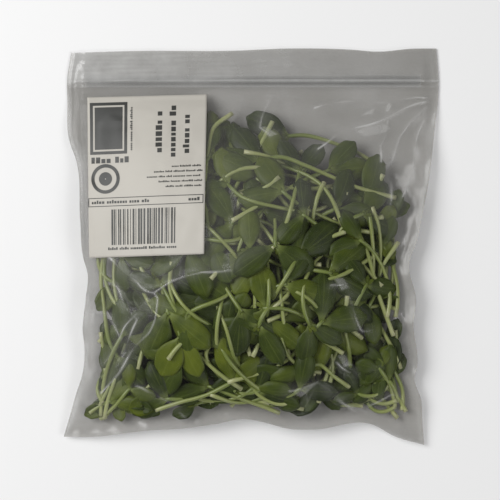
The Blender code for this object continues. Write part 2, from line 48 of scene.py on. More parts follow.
# The bag's film, by the same rule and values as in the part.
WALL = 0.45 * MM
WELD_THICKNESS = 1.1 * MM
WELD_SHARE = 0.018
FILL_HEIGHT = 36 * MM
BAG_WIDTH = 168 * MM
BAG_LENGTH = 184 * MM
SIDE_FULLNESS = 2.3
SIDE_EASE = 0.8
SEAM_FALL = 24 * MM
LIP_SIDE = 5 * MM
LEFT_EDGE = ((-90.1, -88.9), (-80.4, -86.0), (-69.1, -82.7), (-60.6, -79.9), (-46.4, -78.9), (-40.3, -79.6),
             (-25.2, -78.2), (-12.4, -77.3), (-5.8, -79.2), (12.6, -80.8), (40.9, -82.9), (50.3, -86.2),
             (69.2, -87.2), (78.7, -87.4), (91.9, -85.5))
RIGHT_EDGE = ((-94.0, 82.0), (-81.8, 81.0), (-72.4, 80.4), (-62.0, 77.2), (-57.0, 78.4), (-36.0, 76.7),
              (-25.2, 77.8), (-7.5, 74.6), (2.2, 78.0), (19.7, 81.8), (33.8, 84.4), (49.4, 86.2),
              (78.2, 88.9), (94.0, 87.8))
BOTTOM_EDGE = ((-88.9, -90.1), (-76.0, -90.1), (-47.8, -86.9), (-31.3, -85.9), (-17.1, -83.9), (-2.9, -81.5),
               (5.1, -82.8), (17.8, -86.1), (29.0, -86.5), (58.4, -84.6), (67.4, -89.6), (82.0, -94.0))
TOP_EDGE = ((-85.5, 91.9), (-53.9, 92.8), (-10.0, 92.9), (19.7, 94.0), (49.0, 93.3), (58.9, 92.5),
            (77.0, 93.9), (87.8, 94.0))
FILL_ALONG = ((0.0, 0.0), (0.03, 0.30), (0.08, 0.56), (0.16, 0.80), (0.26, 0.95), (0.38, 1.0), (0.5, 0.96),
              (0.6, 0.84), (0.7, 0.62), (0.78, 0.38), (0.84, 0.18), (0.885, 0.0), (1.0, 0.0))
SIDE_SEAM_HEIGHT = ((0.0, 2.0), (0.1, 4.0), (0.25, 7.0), (0.5, 8.0), (0.68, 5.5), (0.8, 2.2), (0.885, 0.55),
                    (1.0, 0.55))
BOTTOM_SEAM_HEIGHT = ((0.0, 2.0), (0.18, 5.5), (0.5, 7.5), (0.82, 5.5), (1.0, 2.0))
LIP_GAP = ((0.0, 0.0), (0.80, 0.0), (0.87, 2.0), (0.95, 2.0), (0.975, 0.6), (1.0, 0.6))
LABEL_CORNERS = ((-76.4, -5.4), (-21.8, -3.5), (-20.9, 72.1), (-77.6, 70.6))

# The shoots that show, as in the part: each is its stem and then the tips of its seed leaves.
STEM_RADIUS = 1.25 * MM
STEM_POINTS = 7
BLADE_THICKNESS = 0.7 * MM
BLADE_ROWS = ((0.0, 0.16), (0.3, 0.80), (0.62, 1.0), (0.87, 0.72), (1.0, 0.30))
BLADE_SHAPE = 0.62
ROOT_SUNK = 1.2 * MM
SHOOT_LIMIT = 54
SEEN_TRIES = 14
LEAF_TRIES = 8
FILL_TRIES = 1500
SEED = 11
SEEN = (
    (((68, 23), (49, 28), (30, 36), (12, 42), (3, 40)), ((-11, 56), (-15, 42))),
    (((10, 59), (5, 49), (-5, 32), (-13, 16)), ((-24, 3), (-7, -4))),
    (((-9, 63), (-16, 59), (-19, 51), (-21, 39), (-21, 14), (-18, -1)), ((-28, -18), (-10, -17))),
    (((27, 27), (26, 15), (25, -7), (17, -20), (4, -27), (-5, -29)), ((-27, -27), (-26, -15))),
    (((-9, 12), (19, 28), (29, 33), (37, 36)), ((57, 38), (50, 50))),
    (((67, -42), (59, -20), (52, 3), (44, 13), (35, 15)), ((26, 30), (45, 31))),
    (((44, 7), (33, 3), (19, -1), (7, -3), (2, -7)), ((-8, -22), (9, -24))),
    (((-24, -7), (-14, 2), (-5, 10), (5, 16)), ((18, 27), (3, 35))),
    (((62, 14), (54, 12), (40, 5), (33, -2)), ((22, -19), (44, -17))),
    (((46, -66), (39, -61), (31, -55), (24, -57)), ((22, -37), (9, -63))),
    (((-45, -77), (-33, -73), (-22, -70), (-8, -63)), ((-12, -40), (6, -53))),
    (((-69, 2), (-71, -5), (-72, -13), (-70, -31), (-69, -41), (-64, -52)), ((-71, -72), (-52, -65))),
    (((-33, -79), (-46, -70), (-56, -62), (-66, -58)), ((-72, -40), (-56, -42))),
    (((13, -29), (3, -23), (-8, -21), (-22, -24)), ((-41, -30), (-40, -12))),
    (((-37, -7), (-38, -19), (-36, -27), (-33, -43)), ((-42, -62), (-26, -62))),
    (((43, -50), (28, -40), (16, -30), (12, -22)), ((18, -2), (-4, -9))),
    (((44, -83), (25, -78), (5, -72), (-13, -68)), ((-33, -62), (-27, -80))),
    (((70, -80), (62, -76), (44, -79), (30, -70)), ((14, -58), (10, -77))),
    (((46, -24), (45, -40), (47, -50), (48, -60)), ((40, -78), (58, -79))),
    (((-40, -27), (-51, -35), (-60, -35), (-67, -30)), ((-72, -12), (-56, -14))),
    (((35, -15), (38, -27), (38, -37), (36, -44)), ((24, -60), (44, -64))),
    (((74, -33), (68, -31), (59, -32), (50, -36)), ((34, -28), (37, -44))),
    (((57, -48), (57, -56), (61, -63), (66, -62)), ((72, -78), (74, -46))),
    (((-10, -40), (-20, -53), (-14, -62), (-6, -70)), ((6, -80), (12, -70))),
    (((-16, 11), (1, 16), (11, 17), (20, 10)), ((36, -4), (24, -12))),
    (((62, 34), (56, 22), (50, 12), (47, 2)), ((57, -14), (38, -12))),
)

# The bag's room, in cubes, as in the part.
CELL = 0.8 * MM
ROOM_LOW = (-92 * MM, -97 * MM, 0.0)
ROOM_CELLS = (230, 216, 50)
ROOM_EDGE = 0.03
ROOM_TOP = 0.87
PIECE_GAP = 0.35 * MM
FILM_SAG = 0.3 * MM
ROUNDING = 0.45 * MM
HALF_THICKNESS = {"stem": STEM_RADIUS, "blade": BLADE_THICKNESS / 2}
LEVELS = 12
STEEPEST = 7 * MM
LEVEL_PULL = 4.0
STRAIGHT_PULL = 0.03

# How a leaf and a stem that aren't read from a place vary: in mm, and in turns from the stem's own line.
LEAF_ARCH = (0.4, 1.8)
LEAF_SPREAD = (0.45, 1.15)
LEAF_LEAN = 0.3
GROWN_STEM = (42, 78)
GROWN_LEAF = (19, 25)
GROWN_BEND = 0.14
GROWN_SWAY = (0.08, 1.3)
GROWN_ACROSS = (-85, 85)
GROWN_ALONG = (-90, 50)
TILTS = {"turn": (-0.3, 0.3), "pitch": (-0.3, 0.4), "roll": (-0.6, 0.6)}
SAMPLES_PER_RUN = 12
BLADE_SAMPLES = (25, 15)
UNPLAN_ROUNDS = 8
RUN_SAMPLES = 11

# More shoots that fill in among those of the part, which may press into others.
LOOSE_SEED = 29
LOOSE_TRIES = 6
LOOSE_BEND = 0.2
LOOSE_SWAY = (0.15, 0.8)
LOOSE_TILT = 3
LOOSE_SPARE = -0.15 * MM
LOOSE_EDGE = 0.014
# How many of a kind, how long their stems and leaves are in mm, how high they lie and how high their
# stems come up as shares of the room, and for those along an edge how far from a corner they are.
LOOSE_KINDS = (
    (55, (34, 66), (15, 24), (0.0, 0.5), 0.0, None),
    (38, (36, 70), (14, 22), (0.1, 0.8), 0.8, None),
    (34, (20, 42), (13, 20), (0.2, 0.9), 0.2, (0.12, 0.62)),
    (16, (12, 22), (12, 18), (0.3, 1.0), 0.0, (0.05, 0.14)),
    (34, (30, 56), (17, 26), (0.8, 1.0), 0.0, None),
)
# Those along an edge: how far in from it, as a share of the bag, how bent, and how far they turn off it.
EDGE_BAND = (0.03, 0.09)
EDGE_BEND = 0.14
EDGE_STRAY = 0.4
# The outline of the heap, seen from above in mm.
HEAP = ((-95, -95), (95, -95), (86, -40), (78, -4), (70, 12), (48, 26), (26, 36), (2, 50), (-20, 60),
        (-50, 50), (-78, 24), (-84, -10), (-86, -40))

# A seed leaf and a stem as they really are: half the leaf's width and the stem's radius along them.
LEAF_OUTLINE = ((0.0, 0.13), (0.07, 0.16), (0.18, 0.46), (0.33, 0.82), (0.5, 1.0), (0.68, 0.95),
                (0.84, 0.83), (0.93, 0.66), (0.98, 0.46), (1.0, 0.34))
STEM_TAPER = ((0.0, 1.12), (0.15, 1.02), (0.6, 0.92), (0.9, 1.0), (1.0, 0.85))
STEM_STEP = 0.02
STEM_JOIN = 0.005 * MM
LEAF_THICKNESS = 0.45 * MM
LEAF_RIM = 0.35 * MM
LEAF_GROOVE = 0.18 * MM
LEAF_GROOVE_WIDTH = 0.09
LEAF_TIP_ROUNDING = 0.06
LEAF_RIM_WAVES = 9
# How wide, how cupped and how curled a seed leaf may be.
LEAF_PLUMP = (0.76, 0.98)
LEAF_CUP = (0.02, 0.42)
LEAF_CURL = (0.0, 0.10)
SMALL_LEAF_THICKNESS = 0.35 * MM
SMALL_LEAF_LENGTH = (3.0, 5.5)
SMALL_LEAF_TILT = {"turn": 0.35, "pitch": 0.2, "roll": 0.3}
SMALL_LEAF = {"arch": 0.3 * MM, "plump": 0.6, "cup": 0.3, "curl": 0.0, "phase": 0.0}
# How light a shoot is at random, the painted shade that darkens its leaves when it lies low in the heap
# (what its height adds to that and from where), how far a leaf may be off it, and how light the small leaves
# are.
SHOOT_TONES = (0.05, 0.95)
HEIGHT_SHADE = (0.5, 0.7)
LEAF_TONE = 0.3
SMALL_LEAF_TONE = 0.9
SHOOT_LAYERS = ("along", "across", "tone", "under")
# How many faces a stem, a seed leaf and a small leaf have each way, for the part's shoots and the rest.
SEEN_CELLS = ((10, 36), (10, 18), (4, 6))
LOOSE_CELLS = ((6, 15), (6, 8), (3, 4))
SHOOT_SEED = 71

FILM_FINE = (300, 310)
FILM_COARSE = (150, 155)

# How the front film lies: flat at the welds and under the label, and sunk onto the heap's uppermost shoots.
WELD_WIDTH = 2.5 * MM
WELD_FLAT = 2 * MM
WELD_EASE = 5 * MM
LABEL_RIM = 4 * MM
LABEL_HOLD = 0.85
SINK_SHARE = 0.55
SINK_UNDER_LABEL = 0.4
DEEPEST_SINK = 2.6 * MM
TOP_REACH = 3
TOP_SAMPLES = 24
GAP_BLUR = 3
# How far short of a map's last column it is read, in cells.
MAP_END = 1.001
RIPPLE_RISE = 0.22 * MM
BACK_RIPPLE_RISE = 0.25 * MM
BACK_LIFT_EASE = 2 * MM
GATHER_RISE = 0.55 * MM
GATHER_MIDDLE = 7 * MM
GATHER_REACH = (7 * MM, 8 * MM)
GATHER_END = 0.8

# Ripples: a seed, how many waves, and how long the shortest and the longest of them are.
RIPPLES = (47, 14, 6 * MM, 26 * MM)
BACK_RIPPLES = (53, 12, 7 * MM, 22 * MM)
SIDE_GATHERS = (41, 9, 5 * MM, 17 * MM)
BOTTOM_GATHERS = (43, 9, 5 * MM, 15 * MM)
CREASE_WANDER_ACROSS = (59, 5, 14 * MM, 40 * MM)
CREASE_WANDER_ALONG = (60, 5, 14 * MM, 40 * MM)
CREASE_COMING = (67, 6, 10 * MM, 30 * MM)
LIP_STREAKS = (73, 8, 1.5 * MM, 6 * MM)

# Where the front film presses on the leaves and so is clear, seen from above in mm.
PRESSED = ((-44, -20), (-24, -12), (-9, -11), (8, -2), (18, 12), (36, 15), (58, 12), (68, -2), (74, -20),
           (78, -39), (80, -63), (82, -87), (40, -84), (16, -77), (-3, -78), (-24, -83), (-50, -84),
           (-69, -72), (-62, -59), (-50, -42), (-45, -28))
PRESSED_FADE = 7 * MM
TOUCHING = 0.8 * MM
TOUCHING_FADE = 2.5 * MM
HEAD_LINE = -25 * MM
HEAD_FADE = 25 * MM
# What is taken off the haze where the film is pressed down, and where it touches as well. Then the haze at
# the bottom and what the head adds.
PRESSED_CLEARS = (0.88, 0.12)
HAZE = (0.6, 0.25)

# Creases of the front film: places in mm, how wide and how high each stands, in mm.
CREASES = (
    (((88, 69), (62, 60), (42, 52), (30, 46)), 1.6, 0.9),
    (((88, 69), (70, 52), (64, 38), (66, 22)), 1.8, 1.0),
    (((88, 69), (76, 44), (72, 24)), 1.4, 0.7),
    (((88, 69), (58, 70), (30, 66)), 1.2, 0.6),
    (((-70, -5), (-58, -14), (-45, -20), (-44, -24), (-49, -39), (-62, -59), (-69, -69)), 1.3, 1.1),
    (((-45, -20), (-24, -12), (-9, -11)), 1.3, 0.9),
    (((9, 71), (7, 62), (6, 56), (11, 52)), 1.0, 0.6),
    (((46, -25), (53, -40), (56, -39)), 0.9, 0.7),
    (((39, -55), (47, -60)), 0.8, 0.6),
    (((17, -67), (31, -64), (24, -75)), 1.0, 0.8),
    (((32, -64), (59, -84)), 1.1, 0.8),
    (((38, -19), (44, -20)), 0.8, 0.6),
    (((64, 60), (60, 48), (62, 40)), 1.3, 0.7),
    (((-30, -80), (-44, -70), (-56, -66)), 1.0, 0.6),
    (((70, -30), (74, -44), (76, -60)), 1.2, 0.7),
    (((50, -76), (66, -70), (77, -72)), 1.1, 0.7),
    (((47, -28), (52, -39), (56, -40)), 0.7, 0.5),
    (((31, -64), (41, -72), (55, -77)), 0.9, 0.8),
    (((31, -64), (24, -68), (25, -75)), 0.8, 0.7),
    (((-66, -18), (-54, -34), (-60, -52)), 0.7, 0.4),
    (((-50, -24), (-60, -42), (-70, -56)), 0.7, 0.4),
    (((-76, -30), (-66, -34), (-60, -44)), 1.0, 0.6),
)
CREASE_WANDER = 1.3 * MM
CREASE_FALL = 1.3
# How strong a crease's painted highlight is along it: its mean and its change. Then the painted highlight
# along its line and the painted sheen round it.
CREASE_HIGHLIGHT = (0.55, 0.45)
CREASE_NARROW = 2.0
CREASE_BROAD = 3.5
CREASE_SHEEN = 0.16

# Small patches of the crumpled front film with a painted highlight, seen from above in mm.
GLINTS = (
    ((18, -68), (23, -65), (31, -63), (25, -68), (21, -70)),
    ((39, -52), (43, -52), (48, -56), (44, -57)),
    ((40, -16), (43, -16), (45, -21), (42, -22)),
    ((51, 63), (53, 65), (57, 67), (56, 64)),
    ((63, 64), (64, 68), (66, 70), (67, 67), (65, 64)),
    ((50, 53), (54, 56), (61, 58), (65, 56), (58, 53), (53, 51)),
    ((7, 90), (14, 88), (22, 87), (18, 85), (11, 86)),
    ((5, 57), (9, 56), (13, 52), (10, 51)),
)
GLINT = 0.55
GLINT_EASE = 0.6

# The press seal's ribs on the film: the place along the bag, the rise and the width of each. Then how they
# sway, and the fine lines of the lips.
ZIP_RIDGES = ((78.6 * MM, 0.55 * MM, 0.7 * MM), (75.9 * MM, 0.30 * MM, 0.6 * MM),
              (82.0 * MM, 0.2 * MM, 0.5 * MM))
ZIP_SWAY = (0.5 * MM, 38 * MM)
LIP_LINE_RISE = 0.05 * MM
LIP_LINE_STEP = 1.9 * MM
LIP_LINES_FROM = 83 * MM
LIP_LINES_FADE = 2 * MM
LIP_FROM = 0.90
LIP_FADE = 0.03
LIP_RIPPLE_FADE = 0.08
# The painted sheen of the lips and the welds at the left, and how much it falls to the right, away from the
# light.
LIP_SHEEN = (0.85, 0.62)
LIP_STREAK = 0.07
LIP_STREAK_STRETCH = 0.1
RIB_SHEEN = 0.85
WELD_SHEEN = (0.3, 0.6)
WELD_SHEEN_WIDTH = 2.2 * MM

# The label and its print. Places on it are shares of its width and its height.
LABEL_SIZE = (57 * MM, 76 * MM)
LABEL_ASPECT = LABEL_SIZE[0] / LABEL_SIZE[1]
LABEL_LIFT = 0.35 * MM
LABEL_PAPER = 0.18 * MM
LABEL_FINE = (56, 76)
INK_LIFT = 0.1 * MM
INK_CELL = 1.1 * MM
PRINT_SEED = 61
PANEL = (0.02, 0.64, 0.335, 0.965)
PANEL_BARS = ((0.0, 0.025), (0.04, 0.158))
RULED_BOX = (0.0, 0.315, 0.985, 0.37)
RULE_WIDTH = 0.006
# A row's marks: how many to a group, and their widths, heights and gaps as shares of the row's height.
MARKS_IN_GROUP = (4, 9)
MARK_WIDTHS = (0.45, 0.75)
MARK_HEIGHTS = (0.7, 0.7, 1.0)
MARK_GAP = 0.22
GROUP_GAP = 0.8
# Rows of marks: where each starts, how long and how high it is, and whether it runs up the label.
UPPER_ROWS = (((0.575, 0.64), 0.25, 0.04, True), ((0.69, 0.61), 0.33, 0.04, True),
              ((0.805, 0.63), 0.25, 0.04, True), ((0.36, 0.66), 0.27, 0.014, True),
              ((0.03, 0.585), 0.29, 0.05, False))
BOXED_ROWS = (((0.03, 0.333), 0.50, 0.028, False), ((0.86, 0.333), 0.09, 0.028, False))
LAST_ROW = ((0.17, 0.045), 0.59, 0.022, False)
SMALL_ROW_LENGTHS = (0.25, 0.40, 0.46, 0.36, 0.30)
SMALL_ROW_HEIGHT = 0.015
SMALL_ROW_RIGHT = 0.965
SMALL_ROWS_TOP = 0.545
SMALL_ROW_STEP = 0.031
STRIPES = (0.20, 0.75)
STRIPE_ENDS = (0.075, 0.295)
STRIPE_WIDTHS = (0.005, 0.01, 0.015)
STRIPE_GAPS = (0.006, 0.011, 0.016)
RING_MIDDLE = (0.15, 0.487)
RING_RADII = ((5.4 * MM, 7.0 * MM), (0.3 * MM, 3.2 * MM))
RING_CELLS = (40, 2)
RING_JOIN = 0.001 * MM

# How opaque the film is, its greys, and the whiter colour of its painted highlights.
FILM_CLEAR = 0.02
FILM_HAZY = 0.16
BACK_HAZY = 0.70
FRONT_SHADE = (0.34, 0.335, 0.32)
BACK_SHADE = (0.318, 0.308, 0.285)
FILM_HIGHLIGHT = (0.80, 0.80, 0.79)
WHITE = (1, 1, 1)
BLACK = (0, 0, 0)

# The camera looks straight down on the middle of the photograph.
MM_PER_PIXEL = 0.472
PICTURE_WIDTH = 500
CAMERA_MIDDLE = (-0.6 * MM, -1.6 * MM)
CAMERA_HEIGHT = 1.5
PLANE_HEIGHT = 8 * MM
SENSOR = 36.0
CAMERA_REACH = 20
FLOOR_DROP = 0.2 * MM
FLOOR_HALF = 3.0
FLOOR_CELLS = 8
WORLD_STRENGTH = 0.22
# Each light: its place, its two sides in metres and its watts.
LIGHTS = {"window_left": ((-0.9, 0.35, 0.9), (0.9, 0.9), 17.5),
          "window_right": ((0.9, -0.5, 0.9), (0.6, 0.6), 5.5)}


def curve_through(knots, at):
    """A smooth line through (position, value) knots, read at the positions at."""
    place, value = np.array(knots, float).T
    slope = np.gradient(value, place)
    at = np.clip(at, place[0], place[-1])
    i = np.clip(np.searchsorted(place, at, side="right") - 1, 0, len(place) - 2)
    span = place[i + 1] - place[i]
    t = (at - place[i]) / span
    return (value[i] * (2 * t**3 - 3 * t**2 + 1) + value[i + 1] * (3 * t**2 - 2 * t**3)
            + span * (slope[i] * (t**3 - 2 * t**2 + t) + slope[i + 1] * (t**3 - t**2)))


def along_edge(edge, share):
    first, last = edge[0][0], edge[-1][0]
    return curve_through(edge, first + (last - first) * share) * MM


def plan(u, w):
    """Where the film's point (u across, w along) is, seen from above."""
    x = (1 - u) * along_edge(LEFT_EDGE, w) + u * along_edge(RIGHT_EDGE, w)
    y = (1 - w) * along_edge(BOTTOM_EDGE, u) + w * along_edge(TOP_EDGE, u)
    return x, y


def unplan(x, y):
    """The film's (u, w) under a place seen from above."""
    u, w = x * 0 + 0.5, y * 0 + 0.5
    for _ in range(UNPLAN_ROUNDS):
        left, right = along_edge(LEFT_EDGE, w), along_edge(RIGHT_EDGE, w)
        low, high = along_edge(BOTTOM_EDGE, u), along_edge(TOP_EDGE, u)
        u, w = np.clip((x - left) / (right - left), 0, 1), np.clip((y - low) / (high - low), 0, 1)
    return u, w


def ease(t):
    t = np.clip(t, 0, 1)
    return t * t * (3 - 2 * t)


def from_welds(u, w):
    """How far the film's point is from the nearer side weld and from the bottom weld's edge."""
    return np.minimum(u, 1 - u) * BAG_WIDTH, w * BAG_LENGTH


def film(u, w):
    """Heights of the bag's outer faces over the film's point (u, w): back film, front film."""
    from_side, from_bottom = from_welds(u, w)
    inner_u = np.clip((u - WELD_SHARE) / (1 - 2 * WELD_SHARE), 0, 1)
    inner_w = np.clip((w - WELD_SHARE) / (1 - WELD_SHARE), 0, 1)
    side_weight = (from_bottom + 1e-6) / (from_bottom + from_side + 2e-6)
    seam = (curve_through(SIDE_SEAM_HEIGHT, w) * side_weight
            + curve_through(BOTTOM_SEAM_HEIGHT, u) * (1 - side_weight)) * MM
    fall = 1 - ease(np.minimum(from_side, from_bottom) / SEAM_FALL)
    back = np.maximum(seam - WELD_THICKNESS / 2, 0) * fall
    across = np.clip(1 - np.abs(2 * inner_u - 1) ** SIDE_FULLNESS, 0, 1) ** SIDE_EASE
    fill = FILL_HEIGHT * across * np.maximum(curve_through(FILL_ALONG, inner_w), 0)
    lips = curve_through(LIP_GAP, w) * MM * ease(np.minimum(inner_u, 1 - inner_u) * BAG_WIDTH / LIP_SIDE)
    return back, back + WELD_THICKNESS + fill + np.maximum(lips, 0)


def label_plan(a, b):
    """Where the label's point is, seen from above: a goes across it and b up it, both from 0 to 1."""
    low_left, low_right, high_right, high_left = np.array(LABEL_CORNERS) * MM
    a, b = a[..., None], b[..., None]
    return (1 - b) * ((1 - a) * low_left + a * low_right) + b * ((1 - a) * high_left + a * high_right)


def pushed(height, distance, way):
    """A surface moved up (way 1) or down (way -1) by a distance, measured across it."""
    reach = int(math.ceil(distance / CELL))
    padded = np.pad(height, reach, mode="edge")
    farthest = np.maximum if way > 0 else np.minimum
    found = height
    for row in range(2 * reach + 1):
        for column in range(2 * reach + 1):
            beyond = distance**2 - ((row - reach) ** 2 + (column - reach) ** 2) * CELL**2
            if beyond >= 0:
                near = padded[row:row + height.shape[0], column:column + height.shape[1]]
                found = farthest(found, near + way * math.sqrt(beyond))
    return found


class Room:
    """The inside of the bag as cubes, with those that the middle of a stem or a blade may not be in."""

    def __init__(self, spare=PIECE_GAP + ROUNDING, edge=ROOM_EDGE):
        self.spare = spare
        x, y = np.meshgrid(ROOM_LOW[0] + np.arange(ROOM_CELLS[0]) * CELL,
                           ROOM_LOW[1] + np.arange(ROOM_CELLS[1]) * CELL, indexing="ij")
        u, w = unplan(x, y)
        back, front = film(u, w)
        self.inside = (np.minimum(u, 1 - u) > edge) & (w > edge) & (w < ROOM_TOP)
        self.low = np.where(self.inside, back + WALL + FILM_SAG, CELL * ROOM_CELLS[2])
        self.high = np.where(self.inside, front - WALL - FILM_SAG, 0.0)
        z = np.arange(ROOM_CELLS[2]) * CELL
        self.taken = {}
        for kind, half in HALF_THICKNESS.items():
            floor = pushed(self.low, half + spare, 1)[..., None]
            ceiling = pushed(self.high, half + spare, -1)[..., None]
            self.taken[kind] = (z < floor) | (z > ceiling)

    def cells(self, points):
        near = np.rint((points - np.array(ROOM_LOW)) / CELL).astype(int)
        return np.clip(near, 0, np.array(ROOM_CELLS) - 1)

    def is_taken(self, kind, points):
        return self.taken[kind][tuple(np.moveaxis(self.cells(points), -1, 0))]

    def read(self, surface, places):
        points = np.concatenate([places, np.zeros(places.shape[:-1] + (1,))], -1)
        cells = self.cells(points)
        return surface[cells[..., 0], cells[..., 1]]

    def slope(self, surface, place, reach=4 * CELL):
        """How steeply a surface rises along x and y at a place."""
        steps = np.array(((reach, 0), (-reach, 0), (0, reach), (0, -reach)))
        east, west, north, south = self.read(surface, place[:2] + steps)
        return np.clip(np.array((east - west, north - south)) / (2 * reach), -1, 1)

    def take(self, kind, points):
        """Marks the cubes round a thing's middle that others have to keep out of."""
        for other, taken in self.taken.items():
            radius = HALF_THICKNESS[kind] + HALF_THICKNESS[other] + PIECE_GAP + ROUNDING
            reach = np.arange(-math.ceil(radius / CELL) - 1, math.ceil(radius / CELL) + 2)
            offsets = np.stack(np.meshgrid(reach, reach, reach, indexing="ij"), -1).reshape(-1, 3)
            cells = self.cells(points)[:, None] + offsets
            away = np.linalg.norm(cells * CELL + np.array(ROOM_LOW) - points[:, None], axis=2)
            near = cells[(away < radius) & (cells >= 0).all(2) & (cells < np.array(ROOM_CELLS)).all(2)]
            taken[tuple(near.T)] = True


def leaf_axes(leaf):
    """A leaf's own directions: forward to its tip, sideways, and up from its face."""
    turn, pitch, roll = leaf["turn"], leaf["pitch"], leaf["roll"]
    forward = np.array([math.cos(pitch) * math.cos(turn), math.cos(pitch) * math.sin(turn), math.sin(pitch)])
    level = np.array([-math.sin(turn), math.cos(turn), 0.0])
    upright = np.cross(forward, level)
    return forward, level * math.cos(roll) + upright * math.sin(roll), upright


def blade_rows(leaf):
    """The two edges of a blade's middle, row by row from its root, which is at the origin."""
    forward, side, upright = leaf_axes(leaf)
    share, half = np.array(BLADE_ROWS).T
    half = half * leaf["length"] * BLADE_SHAPE / 2
    rise = 4 * share * (1 - share) * leaf["arch"]
    middle = np.outer(share * leaf["length"], forward) + np.outer(rise, upright)
    return middle - np.outer(half, side), middle + np.outer(half, side)


def blade_surface(leaf, share, across):
    """Places on a blade's middle surface: share counts its rows from 0 to 1, across goes from edge
    to edge."""
    right, left = blade_rows(leaf)
    steps = np.linspace(0, 1, len(right))
    columns = []
    for axis in range(3):
        columns.append(np.interp(share, steps, right[:, axis]) * (1 - across)
                       + np.interp(share, steps, left[:, axis]) * across)
    return np.stack(columns, -1)


def blade_samples(leaf):
    share, across = np.meshgrid(*(np.linspace(0, 1, count) for count in BLADE_SAMPLES))
    return blade_surface(leaf, share.ravel(), across.ravel())


def stem_samples(path, per_run=SAMPLES_PER_RUN):
    share = np.linspace(0, 1, per_run, endpoint=False)[:, None]
    runs = path[:-1, None] * (1 - share) + path[1:, None] * share
    return np.concatenate([runs.reshape(-1, 3), path[-1:]])


def leaf_root(path):
    return path[-1] - (path[-1] - path[-2]) / np.linalg.norm(path[-1] - path[-2]) * ROOT_SUNK


def leaf_towards(turn, length, rng):
    arch = rng.uniform(*LEAF_ARCH) * MM
    return {"turn": turn, "pitch": 0.0, "roll": 0.0, "length": length, "arch": arch}


def seen_shoot(stem, tips, rng):
    """A shoot along places read from the photograph."""
    stem = np.array(stem) * MM
    run = np.concatenate([[0], np.cumsum(np.linalg.norm(np.diff(stem, axis=0), axis=1))])
    at = np.linspace(0, run[-1], STEM_POINTS)
    path = np.zeros((STEM_POINTS, 3))
    for axis in (0, 1):
        path[:, axis] = curve_through(np.stack([run, stem[:, axis]], 1), at)
    leaves = []
    for tip in tips:
        reach = np.array(tip) * MM - path[-1, :2]
        leaves.append(leaf_towards(math.atan2(reach[1], reach[0]), np.linalg.norm(reach) + ROOT_SUNK, rng))
    return {"path": path, "leaves": leaves}


def grown_shoot(rng, stem=GROWN_STEM, leaf=GROWN_LEAF, bend=GROWN_BEND):
    """A shoot of chance size, bend and place."""
    heading = rng.uniform(0, 2 * math.pi)
    run = rng.uniform(*stem) * MM / (STEM_POINTS - 1)
    steps = np.arange(STEM_POINTS - 1)
    sway, quickness = GROWN_SWAY
    turns = heading + rng.normal(0, bend) * steps + rng.normal(0, sway) * np.sin(steps * quickness)
    path = np.zeros((STEM_POINTS, 3))
    path[1:, 0] = np.cumsum(np.cos(turns)) * run
    path[1:, 1] = np.cumsum(np.sin(turns)) * run
    path[:, :2] += np.array((rng.uniform(*GROWN_ACROSS), rng.uniform(*GROWN_ALONG))) * MM
    size = rng.uniform(*leaf) * MM
    spread = rng.uniform(*LEAF_SPREAD)
    lean = turns[-1] + rng.uniform(-LEAF_LEAN, LEAF_LEAN)
    return {"path": path, "leaves": [leaf_towards(lean + way * spread, size, rng) for way in (-1, 1)]}


def fitted_leaves(room, shoot, slope, rng, first=0):
    """The shoot's leaves, lying along a slope, tilted a little if need be, or None where they
    don't fit."""
    root = leaf_root(shoot["path"])
    fitted = []
    for leaf in shoot["leaves"]:
        for variant in range(first, first + LEAF_TRIES):
            loose = variant / LEAF_TRIES
            turn = leaf["turn"] + rng.uniform(*TILTS["turn"]) * loose
            along = slope[0] * math.cos(turn) + slope[1] * math.sin(turn)
            sideways = slope[1] * math.cos(turn) - slope[0] * math.sin(turn)
            trial = {**leaf, "turn": turn, "pitch": math.atan(along) + rng.uniform(*TILTS["pitch"]) * loose,
                     "roll": math.atan(sideways) + rng.uniform(*TILTS["roll"]) * loose}
            if not room.is_taken("blade", blade_samples(trial) + root).any():
                fitted.append(trial)
                break
    return fitted if len(fitted) == len(shoot["leaves"]) else None


def lay(room, shoot, level, rng):
    """Sets a shoot's heights so that it keeps clear of all that is there, as near as it can to a
    level, where 0 is the back film and 1 the front film. False where it can't."""
    path = shoot["path"]
    if not room.read(room.inside, path[:, :2]).all():
        return False
    low = room.read(room.low, path[:, :2]) + STEM_RADIUS + PIECE_GAP
    high = room.read(room.high, path[:, :2]) - STEM_RADIUS - PIECE_GAP
    if (high < low).any():
        return False
    levels = np.linspace(0, 1, LEVELS)
    heights = low[:, None] + (high - low)[:, None] * levels
    share = np.linspace(0, 1, RUN_SAMPLES)
    places = path[:-1, None, :2] * (1 - share)[:, None] + path[1:, None, :2] * share[:, None]
    runs = heights[:-1, :, None, None] * (1 - share) + heights[1:, None, :, None] * share
    points = np.empty(runs.shape + (3,))
    points[..., :2] = places[:, None, None]
    points[..., 2] = runs
    blocked = room.is_taken("stem", points).any(-1)
    rise = heights[1:, None, :] - heights[:-1, :, None]
    blocked |= np.abs(rise) > STEEPEST

    off_level = LEVEL_PULL * (levels - level) ** 2
    cost = off_level
    came_from = []
    for i in range(len(path) - 1):
        step = cost[:, None] + np.where(blocked[i], np.inf, STRAIGHT_PULL * (rise[i] / MM) ** 2)
        came_from.append(step.argmin(0))
        cost = step.min(0) + off_level
    low_slope, high_slope = room.slope(room.low, path[-1]), room.slope(room.high, path[-1])
    for last in np.argsort(cost):
        if not np.isfinite(cost[last]):
            return False
        chosen = [last]
        for source in reversed(came_from):
            chosen.append(source[chosen[-1]])
        path[:, 2] = heights[np.arange(len(path)), chosen[::-1]]
        slope = low_slope * (1 - levels[last]) + high_slope * levels[last]
        leaves = fitted_leaves(room, shoot, slope, rng)
        if leaves is not None:
            shoot["leaves"] = leaves
            return True
    return False


def blade_places(shoot):
    """Places over the middle of each of a shoot's blades, where they lie."""
    return [blade_samples(leaf) + leaf_root(shoot["path"]) for leaf in shoot["leaves"]]


